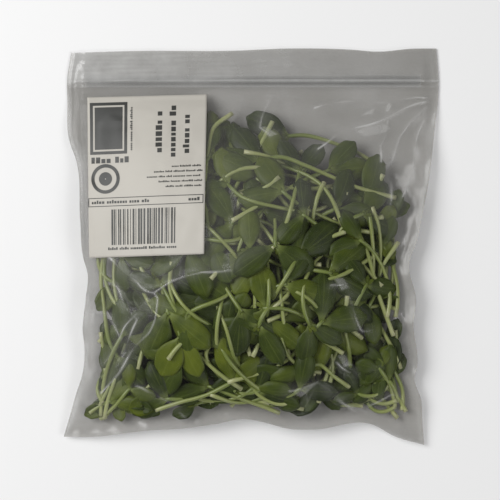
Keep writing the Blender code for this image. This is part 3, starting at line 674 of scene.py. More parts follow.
def add(room, shoot):
    room.take("stem", stem_samples(shoot["path"]))
    for places in blade_places(shoot):
        room.take("blade", places)


def shifted(shoot, x, y):
    path = shoot["path"].copy()
    path[:, :2] += (x, y)
    return {"path": path, "leaves": shoot["leaves"]}


def packed_shoots(room):
    """The part's own shoots, laid clear of each other in the same order as there."""
    rng = np.random.default_rng(SEED)
    shoots = []
    for stem, tips in SEEN:
        seen = seen_shoot(stem, tips, rng)
        for attempt in range(SEEN_TRIES):
            move = rng.uniform(-1, 1, 2) * MM * attempt / 2
            trial = shifted(seen, *move)
            if lay(room, trial, 1.0, rng):
                add(room, trial)
                shoots.append(trial)
                break
    for _ in range(FILL_TRIES):
        if len(shoots) == SHOOT_LIMIT:
            break
        trial = grown_shoot(rng)
        if lay(room, trial, rng.uniform(0, 1), rng):
            add(room, trial)
            shoots.append(trial)
    return shoots


def settled(empty, shoot, level, stem_level, rng):
    """Lays a shoot between the films at about a level, without regard to other shoots. False where it
    can't be."""
    path = shoot["path"]
    if not empty.read(empty.inside, path[:, :2]).all():
        return False
    low = empty.read(empty.low, path[:, :2]) + STEM_RADIUS + empty.spare
    high = empty.read(empty.high, path[:, :2]) - STEM_RADIUS - empty.spare
    sway = LOOSE_SWAY[0] * np.sin(rng.uniform(0, 6) + LOOSE_SWAY[1] * np.arange(STEM_POINTS))
    share = np.clip(np.linspace(max(level, stem_level), level, STEM_POINTS) + sway, 0, 1)
    path[:, 2] = low + (high - low) * share
    if (high < low).any() or empty.is_taken("stem", stem_samples(path)).any():
        return False
    slope = (1 - level) * empty.slope(empty.low, path[-1]) + level * empty.slope(empty.high, path[-1])
    leaves = fitted_leaves(empty, shoot, slope, rng, LOOSE_TILT)
    shoot["leaves"] = leaves
    return leaves is not None


def pressed_share(room, shoot):
    """How much of a shoot would press into those already there."""
    points = [("stem", stem_samples(shoot["path"]))] + [("blade", places) for places in blade_places(shoot)]
    return sum(room.is_taken(kind, places).mean() for kind, places in points)


def move_to_edge(shoot, run, rng):
    """Turns and moves a shoot so that it lies along the left, right or bottom edge."""
    near, along = rng.uniform(*EDGE_BAND), rng.uniform(*run)
    edge = rng.integers(4)
    u, w = ((near, along), (1 - near, along), (along, near), (1 - along, near))[edge]
    heading = (0.5 if edge < 2 else 0.0) * math.pi + rng.integers(2) * math.pi + rng.normal(0, EDGE_STRAY)
    path = shoot["path"]
    reach = path[-1] - path[0]
    turn = heading - math.atan2(reach[1], reach[0])
    away = path[:, :2] - path[STEM_POINTS // 2, :2]
    x, y = plan(np.array([u]), np.array([w]))
    path[:, 0] = x + away[:, 0] * math.cos(turn) - away[:, 1] * math.sin(turn)
    path[:, 1] = y + away[:, 0] * math.sin(turn) + away[:, 1] * math.cos(turn)
    for leaf in shoot["leaves"]:
        leaf["turn"] += turn


def loose_shoots(room):
    """More shoots between the films, each put where it presses least into the others, of a few places."""
    rng = np.random.default_rng(LOOSE_SEED)
    empty = Room(LOOSE_SPARE, LOOSE_EDGE)
    heap = in_metres(HEAP)
    found = []
    for count, stem, leaf, levels, stem_level, edge_run in LOOSE_KINDS:
        fitting = []
        wanted = len(found) + count
        while len(found) < wanted:
            trial = grown_shoot(rng, stem, leaf, EDGE_BEND if edge_run else LOOSE_BEND)
            if edge_run:
                move_to_edge(trial, edge_run, rng)
            inside = depth_in_outline(*trial["path"][:, :2].T, heap) > 0
            if inside.all() and settled(empty, trial, rng.uniform(*levels), stem_level, rng):
                fitting.append(trial)
            if len(fitting) == LOOSE_TRIES:
                best = min(fitting, key=lambda shoot: pressed_share(room, shoot))
                add(room, best)
                found.append(best)
                fitting = []
    return found


def in_metres(places):
    return [(x * MM, y * MM) for x, y in places]


def distance_to_line(x, y, places):
    """How far places seen from above are from a line of straight runs, in metres."""
    nearest = np.full(np.shape(x), 1.0)
    for (ax, ay), (bx, by) in zip(places[:-1], places[1:]):
        run_x, run_y = bx - ax, by - ay
        t = np.clip(((x - ax) * run_x + (y - ay) * run_y) / (run_x**2 + run_y**2), 0, 1)
        nearest = np.minimum(nearest, np.hypot(x - ax - t * run_x, y - ay - t * run_y))
    return nearest


def depth_in_outline(x, y, outline):
    """How far inside an outline places are, in metres, and below zero outside it."""
    inside = np.zeros(np.shape(x), bool)
    ring = list(outline) + [outline[0]]
    for (ax, ay), (bx, by) in zip(ring[:-1], ring[1:]):
        if ay == by:
            continue
        crosses = (ay > y) != (by > y)
        inside ^= crosses & (x < (bx - ax) * (y - ay) / (by - ay) + ax)
    return distance_to_line(x, y, ring) * np.where(inside, 1, -1)


def blurred(heights, passes):
    """A map with its small detail evened out."""
    for _ in range(passes):
        padded = np.pad(heights, 1, mode="edge")
        rows = (padded[:-2] + 2 * padded[1:-1] + padded[2:]) / 4
        heights = (rows[:, :-2] + 2 * rows[:, 1:-1] + rows[:, 2:]) / 4
    return heights


def read_map(heights, x, y):
    """A map of the room's columns, read smoothly at places seen from above."""
    column = np.clip((x - ROOM_LOW[0]) / CELL, 0, ROOM_CELLS[0] - MAP_END)
    row = np.clip((y - ROOM_LOW[1]) / CELL, 0, ROOM_CELLS[1] - MAP_END)
    i, j = column.astype(int), row.astype(int)
    s, t = column - i, row - j
    return ((1 - s) * (1 - t) * heights[i, j] + s * (1 - t) * heights[i + 1, j]
            + (1 - s) * t * heights[i, j + 1] + s * t * heights[i + 1, j + 1])


def room_above(room, shoots):
    """How much room there is between the uppermost shoots and the front film, as a map."""
    tops = np.zeros(room.inside.shape)
    for shoot in shoots:
        parts = [(stem_samples(shoot["path"], TOP_SAMPLES), STEM_RADIUS)]
        parts += [(places, LEAF_THICKNESS) for places in blade_places(shoot)]
        for points, half in parts:
            cells = room.cells(points)
            np.maximum.at(tops, (cells[:, 0], cells[:, 1]), points[:, 2] + half)
    around = range(2 * TOP_REACH + 1)
    padded = np.pad(tops, TOP_REACH)
    wide = np.max([padded[i:i + tops.shape[0], j:j + tops.shape[1]] for i in around for j in around], 0)
    return np.where(room.inside, np.maximum(room.high - wide, 0), 0)


def waves(x, y, seed, count, shortest, longest):
    """Seeded ripples that run in many directions, from -1 to 1."""
    rng = np.random.default_rng(seed)
    total = np.zeros(np.shape(x))
    for _ in range(count):
        angle = rng.uniform(0, 2 * math.pi)
        length = rng.uniform(shortest, longest)
        phase = rng.uniform(0, 2 * math.pi)
        total += np.sin(2 * math.pi / length * (x * math.cos(angle) + y * math.sin(angle)) + phase)
    return total / math.sqrt(count)


def bell(away):
    return np.exp(-away**2)


def label_cover(x, y):
    """1 under the label, where the film is held flat, and 0 away from it."""
    return ease(depth_in_outline(x, y, in_metres(LABEL_CORNERS)) / LABEL_RIM + 1)


def creased(x, y):
    """Height of the front film's creases, which wander, and the strength of the painted highlight along
    them, which comes and goes, and on the glints.
    """
    height = np.zeros(np.shape(x))
    strength = np.zeros(np.shape(x))
    wandered_x = x + CREASE_WANDER * waves(x, y, *CREASE_WANDER_ACROSS)
    wandered_y = y + CREASE_WANDER * waves(x, y, *CREASE_WANDER_ALONG)
    mean, change = CREASE_HIGHLIGHT
    coming = np.clip(mean + change * waves(x, y, *CREASE_COMING), 0, 1)
    for places, width, rise in CREASES:
        away = distance_to_line(wandered_x, wandered_y, in_metres(places)) / (width * MM)
        height = np.maximum(height, rise * MM * np.exp(-away**CREASE_FALL))
        # Painted highlight along the crease, and painted sheen round it.
        line = bell(away * CREASE_NARROW) * coming
        strength = np.maximum(strength, np.maximum(line, CREASE_SHEEN * bell(away / CREASE_BROAD)))
    for outline in GLINTS:
        depth = depth_in_outline(wandered_x, wandered_y, in_metres(outline))
        strength = np.maximum(strength, GLINT * ease(depth / MM + GLINT_EASE))
    return height, strength


def gathers(u, w):
    """Short gathers that run in from the side and bottom welds."""
    from_side, from_bottom = from_welds(u, w)
    side = waves(w * BAG_LENGTH, (u > 0.5) * 0.05, *SIDE_GATHERS)
    bottom = waves(u * BAG_WIDTH, u * 0, *BOTTOM_GATHERS)
    near_side = bell((from_side - GATHER_MIDDLE) / GATHER_REACH[0]) * (w < GATHER_END)
    near_bottom = bell((from_bottom - GATHER_MIDDLE) / GATHER_REACH[1])
    return GATHER_RISE * (side * near_side + bottom * near_bottom * (1 - near_side))


def zip_relief(x, y):
    """The press seal's ribs and the fine lines of the lips."""
    sway = ZIP_SWAY[0] * np.sin(x / ZIP_SWAY[1] + 1.0)
    relief = sum(rise * bell((y - line - sway) / width) for line, rise, width in ZIP_RIDGES)
    lines = LIP_LINE_RISE * np.sin(2 * math.pi * (y - sway) / LIP_LINE_STEP)
    return relief + lines * ease((y - LIP_LINES_FROM) / LIP_LINES_FADE)


def lip_sheen(x, y, u, w):
    """The painted sheen on the lips, the press seal's ribs and the welds: lighter to the left, where the
    light comes from.
    """
    streaks = 1 + LIP_STREAK * waves(x * LIP_STREAK_STRETCH, y, *LIP_STREAKS)
    lip = ease((w - LIP_FROM) / LIP_FADE) * (LIP_SHEEN[0] - LIP_SHEEN[1] * u) * streaks
    ribs = sum(rise / ZIP_RIDGES[0][1] * bell((y - line) / width) for line, rise, width in ZIP_RIDGES)
    edge = WELD_SHEEN[0] * bell(from_welds(u, w)[0] / WELD_SHEEN_WIDTH) * (1 - WELD_SHEEN[1] * u)
    return np.clip(np.maximum(lip, np.maximum(RIB_SHEEN * ribs, edge)), 0, 1)


def front_film(gap, u, w):
    """The front film as it lies: its places, how hazy it is, and its painted highlights on the creases and
    glints and painted sheen on the lips, ribs and welds.
    """
    x, y = plan(u, w)
    above = read_map(gap, x, y)
    free = 1 - LABEL_HOLD * label_cover(x, y)
    off_weld = ease((np.minimum(*from_welds(u, w)) - WELD_FLAT) / WELD_EASE)
    crease, bright = creased(x, y)
    ripple = RIPPLE_RISE * waves(x, y, *RIPPLES) * ease((LIP_FROM - w) / LIP_RIPPLE_FADE)
    sink = np.minimum(above, DEEPEST_SINK) * SINK_SHARE * (SINK_UNDER_LABEL + (1 - SINK_UNDER_LABEL) * free)
    relief = free * (crease + ripple + gathers(u, w)) - sink + zip_relief(x, y)
    height = film(u, w)[1] + off_weld * relief
    pressed = ease(depth_in_outline(x, y, in_metres(PRESSED)) / PRESSED_FADE + 0.5)
    close = 1 - ease((above - TOUCHING) / TOUCHING_FADE)
    hidden = HAZE[0] + HAZE[1] * ease((y - HEAD_LINE) / HEAD_FADE)
    haze = (1 - pressed * (PRESSED_CLEARS[0] + PRESSED_CLEARS[1] * close)) * hidden
    # Painted highlights on the creases and glints, and painted sheen on the lips, ribs and welds.
    sheen = np.maximum(bright * off_weld, lip_sheen(x, y, u, w))
    return np.stack([x, y, welded(height, u, w)], -1), haze, sheen


def back_film(u, w):
    """The back film: flat on the table, and lifted and gathered near the welds."""
    x, y = plan(u, w)
    height = film(u, w)[0]
    ripple = ease(height / BACK_LIFT_EASE) * BACK_RIPPLE_RISE * waves(x, y, *BACK_RIPPLES)
    return np.stack([x, y, welded(np.maximum(height + ripple, 0), u, w)], -1)


def welded(height, u, w):
    """A film's heights, brought to the middle of the bag's thickness along the sides and the bottom,
    where the two films are one."""
    apart = ease(np.minimum(*from_welds(u, w)) / WELD_WIDTH)
    return sum(film(u, w)) / 2 * (1 - apart) + height * apart


def placed_grid(bm, cells, place, **values):
    """A grid laid where place(a, b) says, for a and b from 0 to 1, with a value of each name."""
    layers = {name: bm.verts.layers.float.get(name) or bm.verts.layers.float.new(name) for name in values}
    made = bmesh.ops.create_grid(bm, x_segments=cells[0], y_segments=cells[1], size=0.5)["verts"]
    flat = np.array([(v.co.x, v.co.y) for v in made]) + 0.5
    for v, point in zip(made, place(*flat.T)):
        v.co = point
    for name, value in values.items():
        amounts = value(*flat.T) if callable(value) else np.full(len(made), value)
        for v, amount in zip(made, amounts):
            v[layers[name]] = amount
    return made


def top_of(raised):
    return [v for v in raised["geom"] if isinstance(v, bmesh.types.BMVert)]


def piece_from(bm, name, finishes, slot, *nodes):
    """A finished piece: rides on the bag, takes the finishes given and stands for the CAD nodes named. The
    slot is not used.
    """
    mesh = bpy.data.meshes.new(name)
    bm.to_mesh(mesh)
    bm.free()
    mesh.shade_smooth()
    piece = bpy.data.objects.new(name, mesh)
    bpy.context.scene.collection.objects.link(piece)
    for finish in finishes:
        mesh.materials.append(finish)
    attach(piece, "root")
    if nodes:
        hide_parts(*nodes)
    return piece


def make_front(gap, finish):
    bm = bmesh.new()
    placed_grid(bm, FILM_FINE, lambda u, w: front_film(gap, u, w)[0],
                haze=lambda u, w: front_film(gap, u, w)[1], bright=lambda u, w: front_film(gap, u, w)[2])
    return piece_from(bm, "film_front", [finish], "film", "bag_film")


def make_back(finish):
    bm = bmesh.new()
    placed_grid(bm, FILM_COARSE, back_film, haze=1.0, bright=0.0)
    bmesh.ops.reverse_faces(bm, faces=bm.faces)
    return piece_from(bm, "film_back", [finish], "film")


def label_surface(gap, a, b, lift):
    """Places over the label's face, a across and b up, at a height over the film."""
    x, y = label_plan(a, b).T
    film_places = front_film(gap, *unplan(x, y))[0]
    return np.stack([x, y, film_places[:, 2] + lift], -1)


def make_label(gap, finish):
    bm = bmesh.new()
    placed_grid(bm, LABEL_FINE, lambda a, b: label_surface(gap, a, b, LABEL_LIFT))
    raised = bmesh.ops.extrude_face_region(bm, geom=list(bm.faces))
    bmesh.ops.translate(bm, verts=top_of(raised), vec=(0, 0, LABEL_PAPER))
    bmesh.ops.recalc_face_normals(bm, faces=bm.faces)
    return piece_from(bm, "label_paper", [finish], "label_paper", "label")


def add_ink(bm, gap, cells, spot):
    """A printed patch over the label, where spot(a, b) says, as shares of the label."""
    lift = LABEL_LIFT + LABEL_PAPER + INK_LIFT
    return placed_grid(bm, cells, lambda a, b: label_surface(gap, *spot(a, b), lift))


def add_ink_box(bm, gap, low, high):
    """A printed box, from its low corner to its high one."""
    cells = [max(1, int(round((high[i] - low[i]) * LABEL_SIZE[i] / INK_CELL))) for i in (0, 1)]
    add_ink(bm, gap, cells, lambda a, b: (low[0] + a * (high[0] - low[0]), low[1] + b * (high[1] - low[1])))


def add_ink_ring(bm, gap, inner, outer):
    """A printed ring, between two radii."""
    def spot(a, b):
        radius = inner + (outer - inner) * b
        return (RING_MIDDLE[0] + radius * np.cos(2 * math.pi * a) / LABEL_SIZE[0],
                RING_MIDDLE[1] + radius * np.sin(2 * math.pi * a) / LABEL_SIZE[1])

    made = add_ink(bm, gap, RING_CELLS, spot)
    bmesh.ops.remove_doubles(bm, verts=made, dist=RING_JOIN)


def framed(box, inner, outer):
    """The four bars of a frame in a box (left, low, right, high), from inner to outer in from its edge,
    as shares of the label's width."""
    left, low, right, high = box
    near, far = inner * LABEL_ASPECT, outer * LABEL_ASPECT
    return [((left + inner, low + near), (right - inner, low + far)),
            ((left + inner, high - far), (right - inner, high - near)),
            ((left + inner, low + far), (left + outer, high - far)),
            ((right - outer, low + far), (right - inner, high - far))]


def row_of_marks(rng, start, length, height, upright):
    """Small boxes in a row, in groups of a few, along the label or, if upright, up it."""
    boxes = []
    at = 0.0
    left_in_group = rng.integers(*MARKS_IN_GROUP)
    while at < length:
        wide = height * rng.uniform(*MARK_WIDTHS)
        tall = height * rng.choice(MARK_HEIGHTS)
        if upright:
            low = (start[0] + (height - tall) / LABEL_ASPECT, start[1] + at)
            boxes.append((low, (start[0] + height / LABEL_ASPECT, low[1] + wide)))
        else:
            low = (start[0] + at, start[1])
            boxes.append((low, (low[0] + wide, start[1] + tall * LABEL_ASPECT)))
        left_in_group -= 1
        at += wide + height * (MARK_GAP if left_in_group else GROUP_GAP)
        left_in_group = left_in_group or rng.integers(*MARKS_IN_GROUP)
    return boxes


def stripes(rng):
    boxes = []
    at = STRIPES[0]
    while at < STRIPES[1]:
        wide = rng.choice(STRIPE_WIDTHS)
        boxes.append(((at, STRIPE_ENDS[0]), (at + wide, STRIPE_ENDS[1])))
        at += wide + rng.choice(STRIPE_GAPS)
    return boxes


def make_print(gap, finish):
    """Plain print: a dark panel with a frame line, rows of marks, a ruled box, stripes and a ring."""
    rng = np.random.default_rng(PRINT_SEED)
    small_rows = []
    for i, length in enumerate(SMALL_ROW_LENGTHS):
        start = (SMALL_ROW_RIGHT - length, SMALL_ROWS_TOP - SMALL_ROW_STEP * i)
        small_rows.append((start, length, SMALL_ROW_HEIGHT, False))
    boxes = sum([framed(PANEL, *bar) for bar in PANEL_BARS], [])
    for row in (*UPPER_ROWS, *small_rows):
        boxes += row_of_marks(rng, *row)
    boxes += framed(RULED_BOX, 0.0, RULE_WIDTH)
    for row in BOXED_ROWS:
        boxes += row_of_marks(rng, *row)
    boxes += stripes(rng) + row_of_marks(rng, *LAST_ROW)
    bm = bmesh.new()
    for low, high in boxes:
        add_ink_box(bm, gap, low, high)
    for radii in RING_RADII:
        add_ink_ring(bm, gap, *radii)
    bmesh.ops.recalc_face_normals(bm, faces=bm.faces)
    return piece_from(bm, "label_print", [finish], "label_paper")


def stem_place(path):
    """The rule for a stem's skin: a round, slightly tapered tube along the path."""
    steps = np.arange(STEM_POINTS)

    def middle(at):
        return np.stack([curve_through(np.stack([steps, path[:, i]], 1), at) for i in range(3)], -1)

    def place(a, b):
        at = b * (STEM_POINTS - 1)
        tangent = middle(at + STEM_STEP) - middle(at - STEM_STEP)
        tangent /= np.linalg.norm(tangent, axis=1)[:, None]
        side = np.cross(tangent, (0.0, 0.0, 1.0))
        side /= np.linalg.norm(side, axis=1)[:, None]
        upright = np.cross(side, tangent)
        radius = curve_through(STEM_TAPER, b)[:, None] * MM
        angle = (2 * math.pi * a)[:, None]
        return middle(at) + radius * (np.cos(angle) * side + np.sin(angle) * upright)

    return place


def leaf_surface(leaf, root, share, across, lift):
    """Places on a seed leaf's face, lift above its middle: share runs to its tip, across from -1 to 1."""
    forward, side, _ = leaf_axes(leaf)
    face = np.cross(forward, side)
    length = leaf["length"]
    half = length * BLADE_SHAPE / 2 * leaf["plump"] * curve_through(LEAF_OUTLINE, share)
    reach = length * (share - LEAF_TIP_ROUNDING * share**6 * across**2)
    bend = 4 * share * (1 - share) * leaf["arch"] - leaf["curl"] * length * share**3
    cup = leaf["cup"] * half * across**2 * np.minimum(share * 4, 1)
    rim = LEAF_RIM * np.abs(across)**3 * np.sin(LEAF_RIM_WAVES * share + leaf["phase"])
    groove = -LEAF_GROOVE * bell(across / LEAF_GROOVE_WIDTH) * np.minimum(share * 6, 1) * (1 - share)
    rise = bend + cup + rim + groove + lift
    return root + np.outer(reach, forward) + np.outer(half * across, side) + np.outer(rise, face)


def add_leaf(bm, leaf, root, tone, cells, thickness=LEAF_THICKNESS):
    """A seed leaf: a thin closed blade, its upper and lower face apart by its thickness."""
    before = set(bm.faces)
    placed_grid(bm, cells, lambda a, b: leaf_surface(leaf, root, b, 2 * a - 1, -thickness / 2),
                along=lambda a, b: b, across=lambda a, b: 2 * a - 1, tone=tone, under=1.0)
    top = top_of(bmesh.ops.extrude_face_region(bm, geom=[f for f in bm.faces if f not in before]))
    along, across, under = (bm.verts.layers.float[name] for name in ("along", "across", "under"))
    share, width = np.array([(v[along], v[across]) for v in top]).T
    for v, point in zip(top, leaf_surface(leaf, root, share, width, thickness / 2)):
        v.co = point
        v[under] = 0.0
    made = [f for f in bm.faces if f not in before]
    for f in made:
        f.material_index = 1
    bmesh.ops.recalc_face_normals(bm, faces=made)


def dressed_leaf(leaf, rng, way):
    """A packed leaf with the cup, curl and rim of a real one, bent up or down: away from the film."""
    return {**leaf, "plump": rng.uniform(*LEAF_PLUMP), "cup": way * rng.uniform(*LEAF_CUP),
            "curl": -way * rng.uniform(*LEAF_CURL), "phase": rng.uniform(0, 6)}


def height_share(room, shoot):
    """How high a shoot lies between the films, from 0 to 1."""
    places = shoot["path"][:, :2]
    low, high = room.read(room.low, places), room.read(room.high, places)
    return float(np.mean((shoot["path"][:, 2] - low) / (high - low)))


def make_shoot(name, room, shoot, finishes, rng, *nodes, cells=SEEN_CELLS):
    """A shoot: its stem, its two seed leaves and the first small leaves between them."""
    bm = bmesh.new()
    for layer in SHOOT_LAYERS:
        bm.verts.layers.float.new(layer)
    high = height_share(room, shoot)
    way = -1 if high > 0.5 else 1
    # Painted shade: the leaves of a shoot that lies low in the heap are darker.
    tone = np.clip(rng.uniform(*SHOOT_TONES) + HEIGHT_SHADE[0] * (high - HEIGHT_SHADE[1]), 0, 1)
    placed_grid(bm, cells[0], stem_place(shoot["path"]), along=lambda a, b: b, tone=tone)
    bmesh.ops.remove_doubles(bm, verts=bm.verts, dist=STEM_JOIN)
    bmesh.ops.holes_fill(bm, edges=[e for e in bm.edges if e.is_boundary], sides=0)
    bmesh.ops.recalc_face_normals(bm, faces=bm.faces)
    root = leaf_root(shoot["path"])
    for leaf in shoot["leaves"]:
        dressed = dressed_leaf(leaf, rng, way)
        leaf_tone = np.clip(tone + rng.uniform(-LEAF_TONE, LEAF_TONE), 0, 1)
        add_leaf(bm, dressed, root, leaf_tone, cells[1])
    first, last = shoot["leaves"][0]["turn"], shoot["leaves"][-1]["turn"]
    lean = math.atan2(math.sin(first) + math.sin(last), math.cos(first) + math.cos(last))
    for turned in (-1, 1):
        small = {**SMALL_LEAF, "turn": lean + turned * SMALL_LEAF_TILT["turn"],
                 "pitch": way * SMALL_LEAF_TILT["pitch"], "roll": turned * SMALL_LEAF_TILT["roll"],
                 "length": rng.uniform(*SMALL_LEAF_LENGTH) * MM}
        add_leaf(bm, small, root, SMALL_LEAF_TONE, cells[2], SMALL_LEAF_THICKNESS)
    return piece_from(bm, name, finishes, "shoot", *nodes)


class Finish:
    """A new material, its one shader and the nodes that feed it."""

    def __init__(self, name):
        self.material = bpy.data.materials.new(name)
        self.material.use_nodes = True
        self.tree = self.material.node_tree
        self.shader = self.tree.nodes["Principled BSDF"]

    def fill(self, socket, value):
        """Joins an output to a socket, or sets the socket's own value."""
        if isinstance(value, bpy.types.NodeSocket):
            self.tree.links.new(value, socket)
        elif isinstance(value, tuple) and len(value) < len(socket.default_value):
            socket.default_value = (*value, 1)
        else:
            socket.default_value = value

    def feed(self, made, **named):
        for name, value in named.items():
            self.fill(made.inputs[name.replace("_", " ")], value)

    def node(self, kind, *values, **named):
        """A node with its inputs filled, the first ones in order and others by name."""
        made = self.tree.nodes.new(kind)
        for socket, value in zip(made.inputs, values):
            self.fill(socket, value)
        self.feed(made, **named)
        return made

    def set_shader(self, **named):
        self.feed(self.shader, **named)

    def attribute(self, name):
        made = self.node("ShaderNodeAttribute")
        made.attribute_name = name
        return made.outputs["Fac"]

    def maths(self, operation, a, b=0.0, clamp=False):
        made = self.node("ShaderNodeMath", a, b)
        made.operation = operation
        made.use_clamp = clamp
        return made.outputs[0]

    def times(self, a, b):
        return self.maths("MULTIPLY", a, b)

    def plus(self, a, b):
        return self.maths("ADD", a, b)

    def ramp(self, value, *stops):
        """A colour ramp: stops are (position, colour)."""
        made = self.node("ShaderNodeValToRGB", value)
        elements = made.color_ramp.elements
        while len(elements) < len(stops):
            elements.new(0.5)
        for element, (position, colour) in zip(elements, stops):
            element.position = position
            element.color = (*colour, 1)
        return made.outputs["Color"]

    def blend(self, share, first, second):
        """Two colours mixed by a share, which are the Mix node's inputs 6, 7 and 0."""
        made = self.tree.nodes.new("ShaderNodeMix")
        made.data_type = "RGBA"
        for place, value in ((0, share), (6, first), (7, second)):
            self.fill(made.inputs[place], value)
        return made.outputs[2]

    def noise(self, scale, detail=3.0, stretch=(1, 1, 1)):
        """Noise over the object's own coordinates, scale per metre."""
        where = self.node("ShaderNodeTexCoord").outputs["Object"]
        mapped = self.node("ShaderNodeMapping", Vector=where, Scale=stretch)
        made = self.node("ShaderNodeTexNoise", Vector=mapped.outputs[0], Scale=scale, Detail=detail)
        return made.outputs["Fac"]

    def bump(self, height, distance, strength):
        made = self.node("ShaderNodeBump", Height=height, Distance=distance, Strength=strength)
        self.set_shader(Normal=made.outputs[0])


def film_finish(name, hazy, shade):
    """Thin polyethylene: clear where it is pressed on the leaves, grey where it stands off, and less clear
    and whiter where a painted highlight lies on its creases, glints, lips, ribs and welds."""
    finish = Finish(name)
    haze, bright = finish.attribute("haze"), finish.attribute("bright")
    clouds = finish.times(finish.noise(45.0, 4.0), 0.8)
    streaks = finish.times(finish.noise(120.0, 2.0, (1.0, 6.0, 1.0)), 0.14)
    uneven = finish.plus(finish.plus(clouds, streaks), 0.5)
    hazy_alpha = finish.times(finish.times(haze, hazy - FILM_CLEAR), uneven)
    # Painted highlight: the film is less clear and whiter on its creases, glints, lips, ribs and welds.
    wear_and_highlight = finish.times(bright, finish.plus(finish.times(finish.noise(160.0), 0.5), 0.25))
    finish.set_shader(Alpha=finish.maths("ADD", finish.plus(hazy_alpha, FILM_CLEAR), wear_and_highlight, clamp=True),
                      Base_Color=finish.blend(finish.times(bright, 0.6), shade, FILM_HIGHLIGHT),
                      Roughness=0.16, IOR=1.51)
    finish.bump(finish.noise(420.0), 0.05 * MM, 0.6)
    return finish.material


def leaf_finish():
    """A seed leaf: mottled green, paler along its ribs, at its neck and below, and darker in painted shade
    on shoots that lie low in the heap.
    """
    finish = Finish("seed_leaf")
    along, across = finish.attribute("along"), finish.attribute("across")
    tone, under = finish.attribute("tone"), finish.attribute("under")
    mottle = finish.noise(260.0, 4.0)
    blotches = finish.times(finish.maths("SUBTRACT", finish.noise(95.0, 2.0), 0.5), 0.5)
    shade = finish.plus(finish.plus(finish.times(tone, 0.62), finish.times(mottle, 0.38)), blotches)
    green = finish.ramp(shade, (0.15, (0.013, 0.022, 0.002)), (0.5, (0.037, 0.056, 0.003)),
                        (0.95, (0.096, 0.120, 0.007)))
    off_middle = finish.maths("ABSOLUTE", across)
    branch = finish.maths("ABSOLUTE", finish.maths("SUBTRACT", off_middle, finish.times(along, 0.62)))
    rib = finish.ramp(off_middle, (0.0, WHITE), (0.07, BLACK))
    side_rib = finish.ramp(branch, (0.0, (0.55, 0.55, 0.55)), (0.05, BLACK))
    ribs = finish.maths("MAXIMUM", rib, side_rib)
    neck = finish.ramp(along, (0.02, WHITE), (0.22, BLACK))
    for share, colour in ((finish.times(ribs, 0.2), (0.17, 0.21, 0.05)),
                          (finish.times(neck, 0.7), (0.19, 0.23, 0.06)),
                          (finish.times(under, 0.45), (0.12, 0.15, 0.04))):
        green = finish.blend(share, green, colour)
    rough = finish.plus(finish.times(mottle, 0.22), 0.36)
    finish.set_shader(Base_Color=green, Roughness=rough, Specular_IOR_Level=0.2)
    relief = finish.plus(finish.times(ribs, -0.5), finish.times(finish.noise(900.0), 0.6))
    finish.bump(relief, 0.12 * MM, 0.7)
    return finish.material


def stem_finish():
    """A stem: pale at its cut end, greener towards its leaves, with fine streaks."""
    finish = Finish("pale_stem")
    skin = finish.ramp(finish.attribute("along"), (0.0, (0.42, 0.42, 0.24)), (0.10, (0.30, 0.33, 0.12)),
                       (0.55, (0.20, 0.235, 0.06)), (0.92, (0.11, 0.15, 0.02)))
    skin = finish.blend(finish.times(finish.noise(500.0), 0.25), skin, (0.32, 0.34, 0.15))
    skin = finish.blend(finish.times(finish.attribute("tone"), 0.3), skin, (0.12, 0.16, 0.03))
    finish.set_shader(Base_Color=skin, Roughness=0.38, Subsurface_Weight=0.12, Subsurface_Scale=1.0,
                      Subsurface_Radius=(1.2 * MM, 1.4 * MM, 0.6 * MM))
    finish.bump(finish.noise(1300.0, 2.0), 0.06 * MM, 0.5)
    return finish.material


def paper_finish():
    finish = Finish("label_stock")
    clouds = finish.times(finish.noise(40.0, 2.0), 0.5)
    paper = finish.blend(clouds, (0.475, 0.452, 0.405), (0.42, 0.40, 0.358))
    finish.set_shader(Base_Color=paper, Roughness=0.62)
    finish.bump(finish.noise(700.0, 4.0), 0.03 * MM, 0.5)
    return finish.material


def ink_finish():
    finish = Finish("label_ink")
    wear_and_highlight = finish.times(finish.noise(1500.0, 2.0), 0.25)
    ink = finish.blend(wear_and_highlight, (0.026, 0.027, 0.024), (0.055, 0.055, 0.05))
    finish.set_shader(Base_Color=ink, Roughness=0.5)
    return finish.material


def zip_finish():
    finish = Finish("press_seal")
    streaks = finish.noise(90.0, 2.0, (0.3, 1.0, 1.0))
    finish.set_shader(Alpha=finish.plus(finish.times(streaks, 0.08), 0.04), Base_Color=(0.85, 0.85, 0.83),
                      Roughness=0.25)
    return finish.material


def floor_finish():
    finish = Finish("studio_floor")
    clouds = finish.times(finish.noise(6.0, 2.0), 0.3)
    grey = finish.blend(clouds, (0.86, 0.86, 0.86), (0.83, 0.83, 0.83))
    finish.set_shader(Base_Color=grey, Roughness=0.75)
    return finish.material


def add_camera():
    lens = bpy.data.cameras.new("top_camera")
    lens.sensor_width = SENSOR
    lens.lens = SENSOR * (CAMERA_HEIGHT - PLANE_HEIGHT) / (PICTURE_WIDTH * MM_PER_PIXEL * MM)
    lens.dof.use_dof = False
    lens.clip_end = CAMERA_REACH
    camera = bpy.data.objects.new("top_camera", lens)
    camera.location = (*CAMERA_MIDDLE, CAMERA_HEIGHT)
    bpy.context.scene.collection.objects.link(camera)
    bpy.context.scene.camera = camera
    bpy.context.scene.view_settings.view_transform = "Standard"


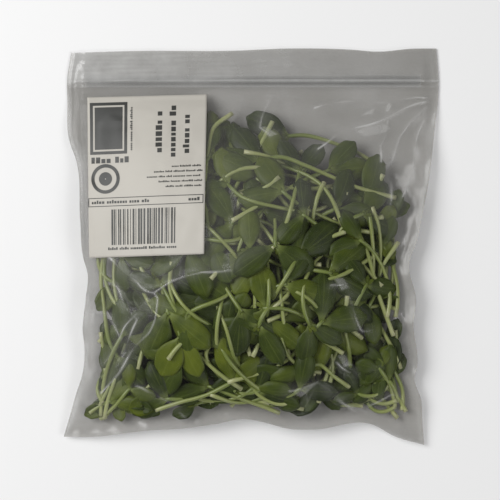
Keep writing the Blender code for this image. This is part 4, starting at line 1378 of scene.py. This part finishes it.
def add_light(name, place, size, power):
    """A soft window, turned to the bag."""
    lamp = bpy.data.lights.new(name, "AREA")
    lamp.shape = "RECTANGLE"
    lamp.size, lamp.size_y = size
    lamp.energy = power
    light = bpy.data.objects.new(name, lamp)
    light.location = place
    light.rotation_euler = (-Vector(place)).to_track_quat("-Z", "Y").to_euler()
    bpy.context.scene.collection.objects.link(light)


def add_stage():
    bm = bmesh.new()
    bmesh.ops.create_grid(bm, x_segments=FLOOR_CELLS, y_segments=FLOOR_CELLS, size=FLOOR_HALF)
    bmesh.ops.translate(bm, verts=bm.verts, vec=(0, 0, -FLOOR_DROP))
    mesh = bpy.data.meshes.new("studio_floor")
    bm.to_mesh(mesh)
    bm.free()
    floor = bpy.data.objects.new("studio_floor", mesh)
    bpy.context.scene.collection.objects.link(floor)
    mesh.materials.append(floor_finish())
    world = bpy.data.worlds.new("studio")
    world.use_nodes = True
    sky = world.node_tree.nodes["Background"].inputs
    sky["Color"].default_value = (*WHITE, 1)
    sky["Strength"].default_value = WORLD_STRENGTH
    bpy.context.scene.world = world
    for name, values in LIGHTS.items():
        add_light(name, *values)


def main():
    room = Room()
    shoots = packed_shoots(room)
    loose = loose_shoots(room)
    gap = blurred(room_above(room, shoots + loose), GAP_BLUR)
    greens = [stem_finish(), leaf_finish()]
    rng = np.random.default_rng(SHOOT_SEED)
    for i, shoot in enumerate(shoots, 1):
        make_shoot(f"green_shoot_{i:02d}", room, shoot, greens, rng, f"shoot_{i:02d}")
    for i, shoot in enumerate(loose, 1):
        make_shoot(f"loose_shoot_{i:03d}", room, shoot, greens, rng, cells=LOOSE_CELLS)
    make_front(gap, film_finish("front_film", FILM_HAZY, FRONT_SHADE))
    make_back(film_finish("back_film", BACK_HAZY, BACK_SHADE))
    make_label(gap, paper_finish())
    make_print(gap, ink_finish())
    seal = zip_finish()
    for name in ("zip_rib_strip", "zip_socket_strip"):
        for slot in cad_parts[name].material_slots:
            slot.material = seal
    add_stage()
    add_camera()


main()
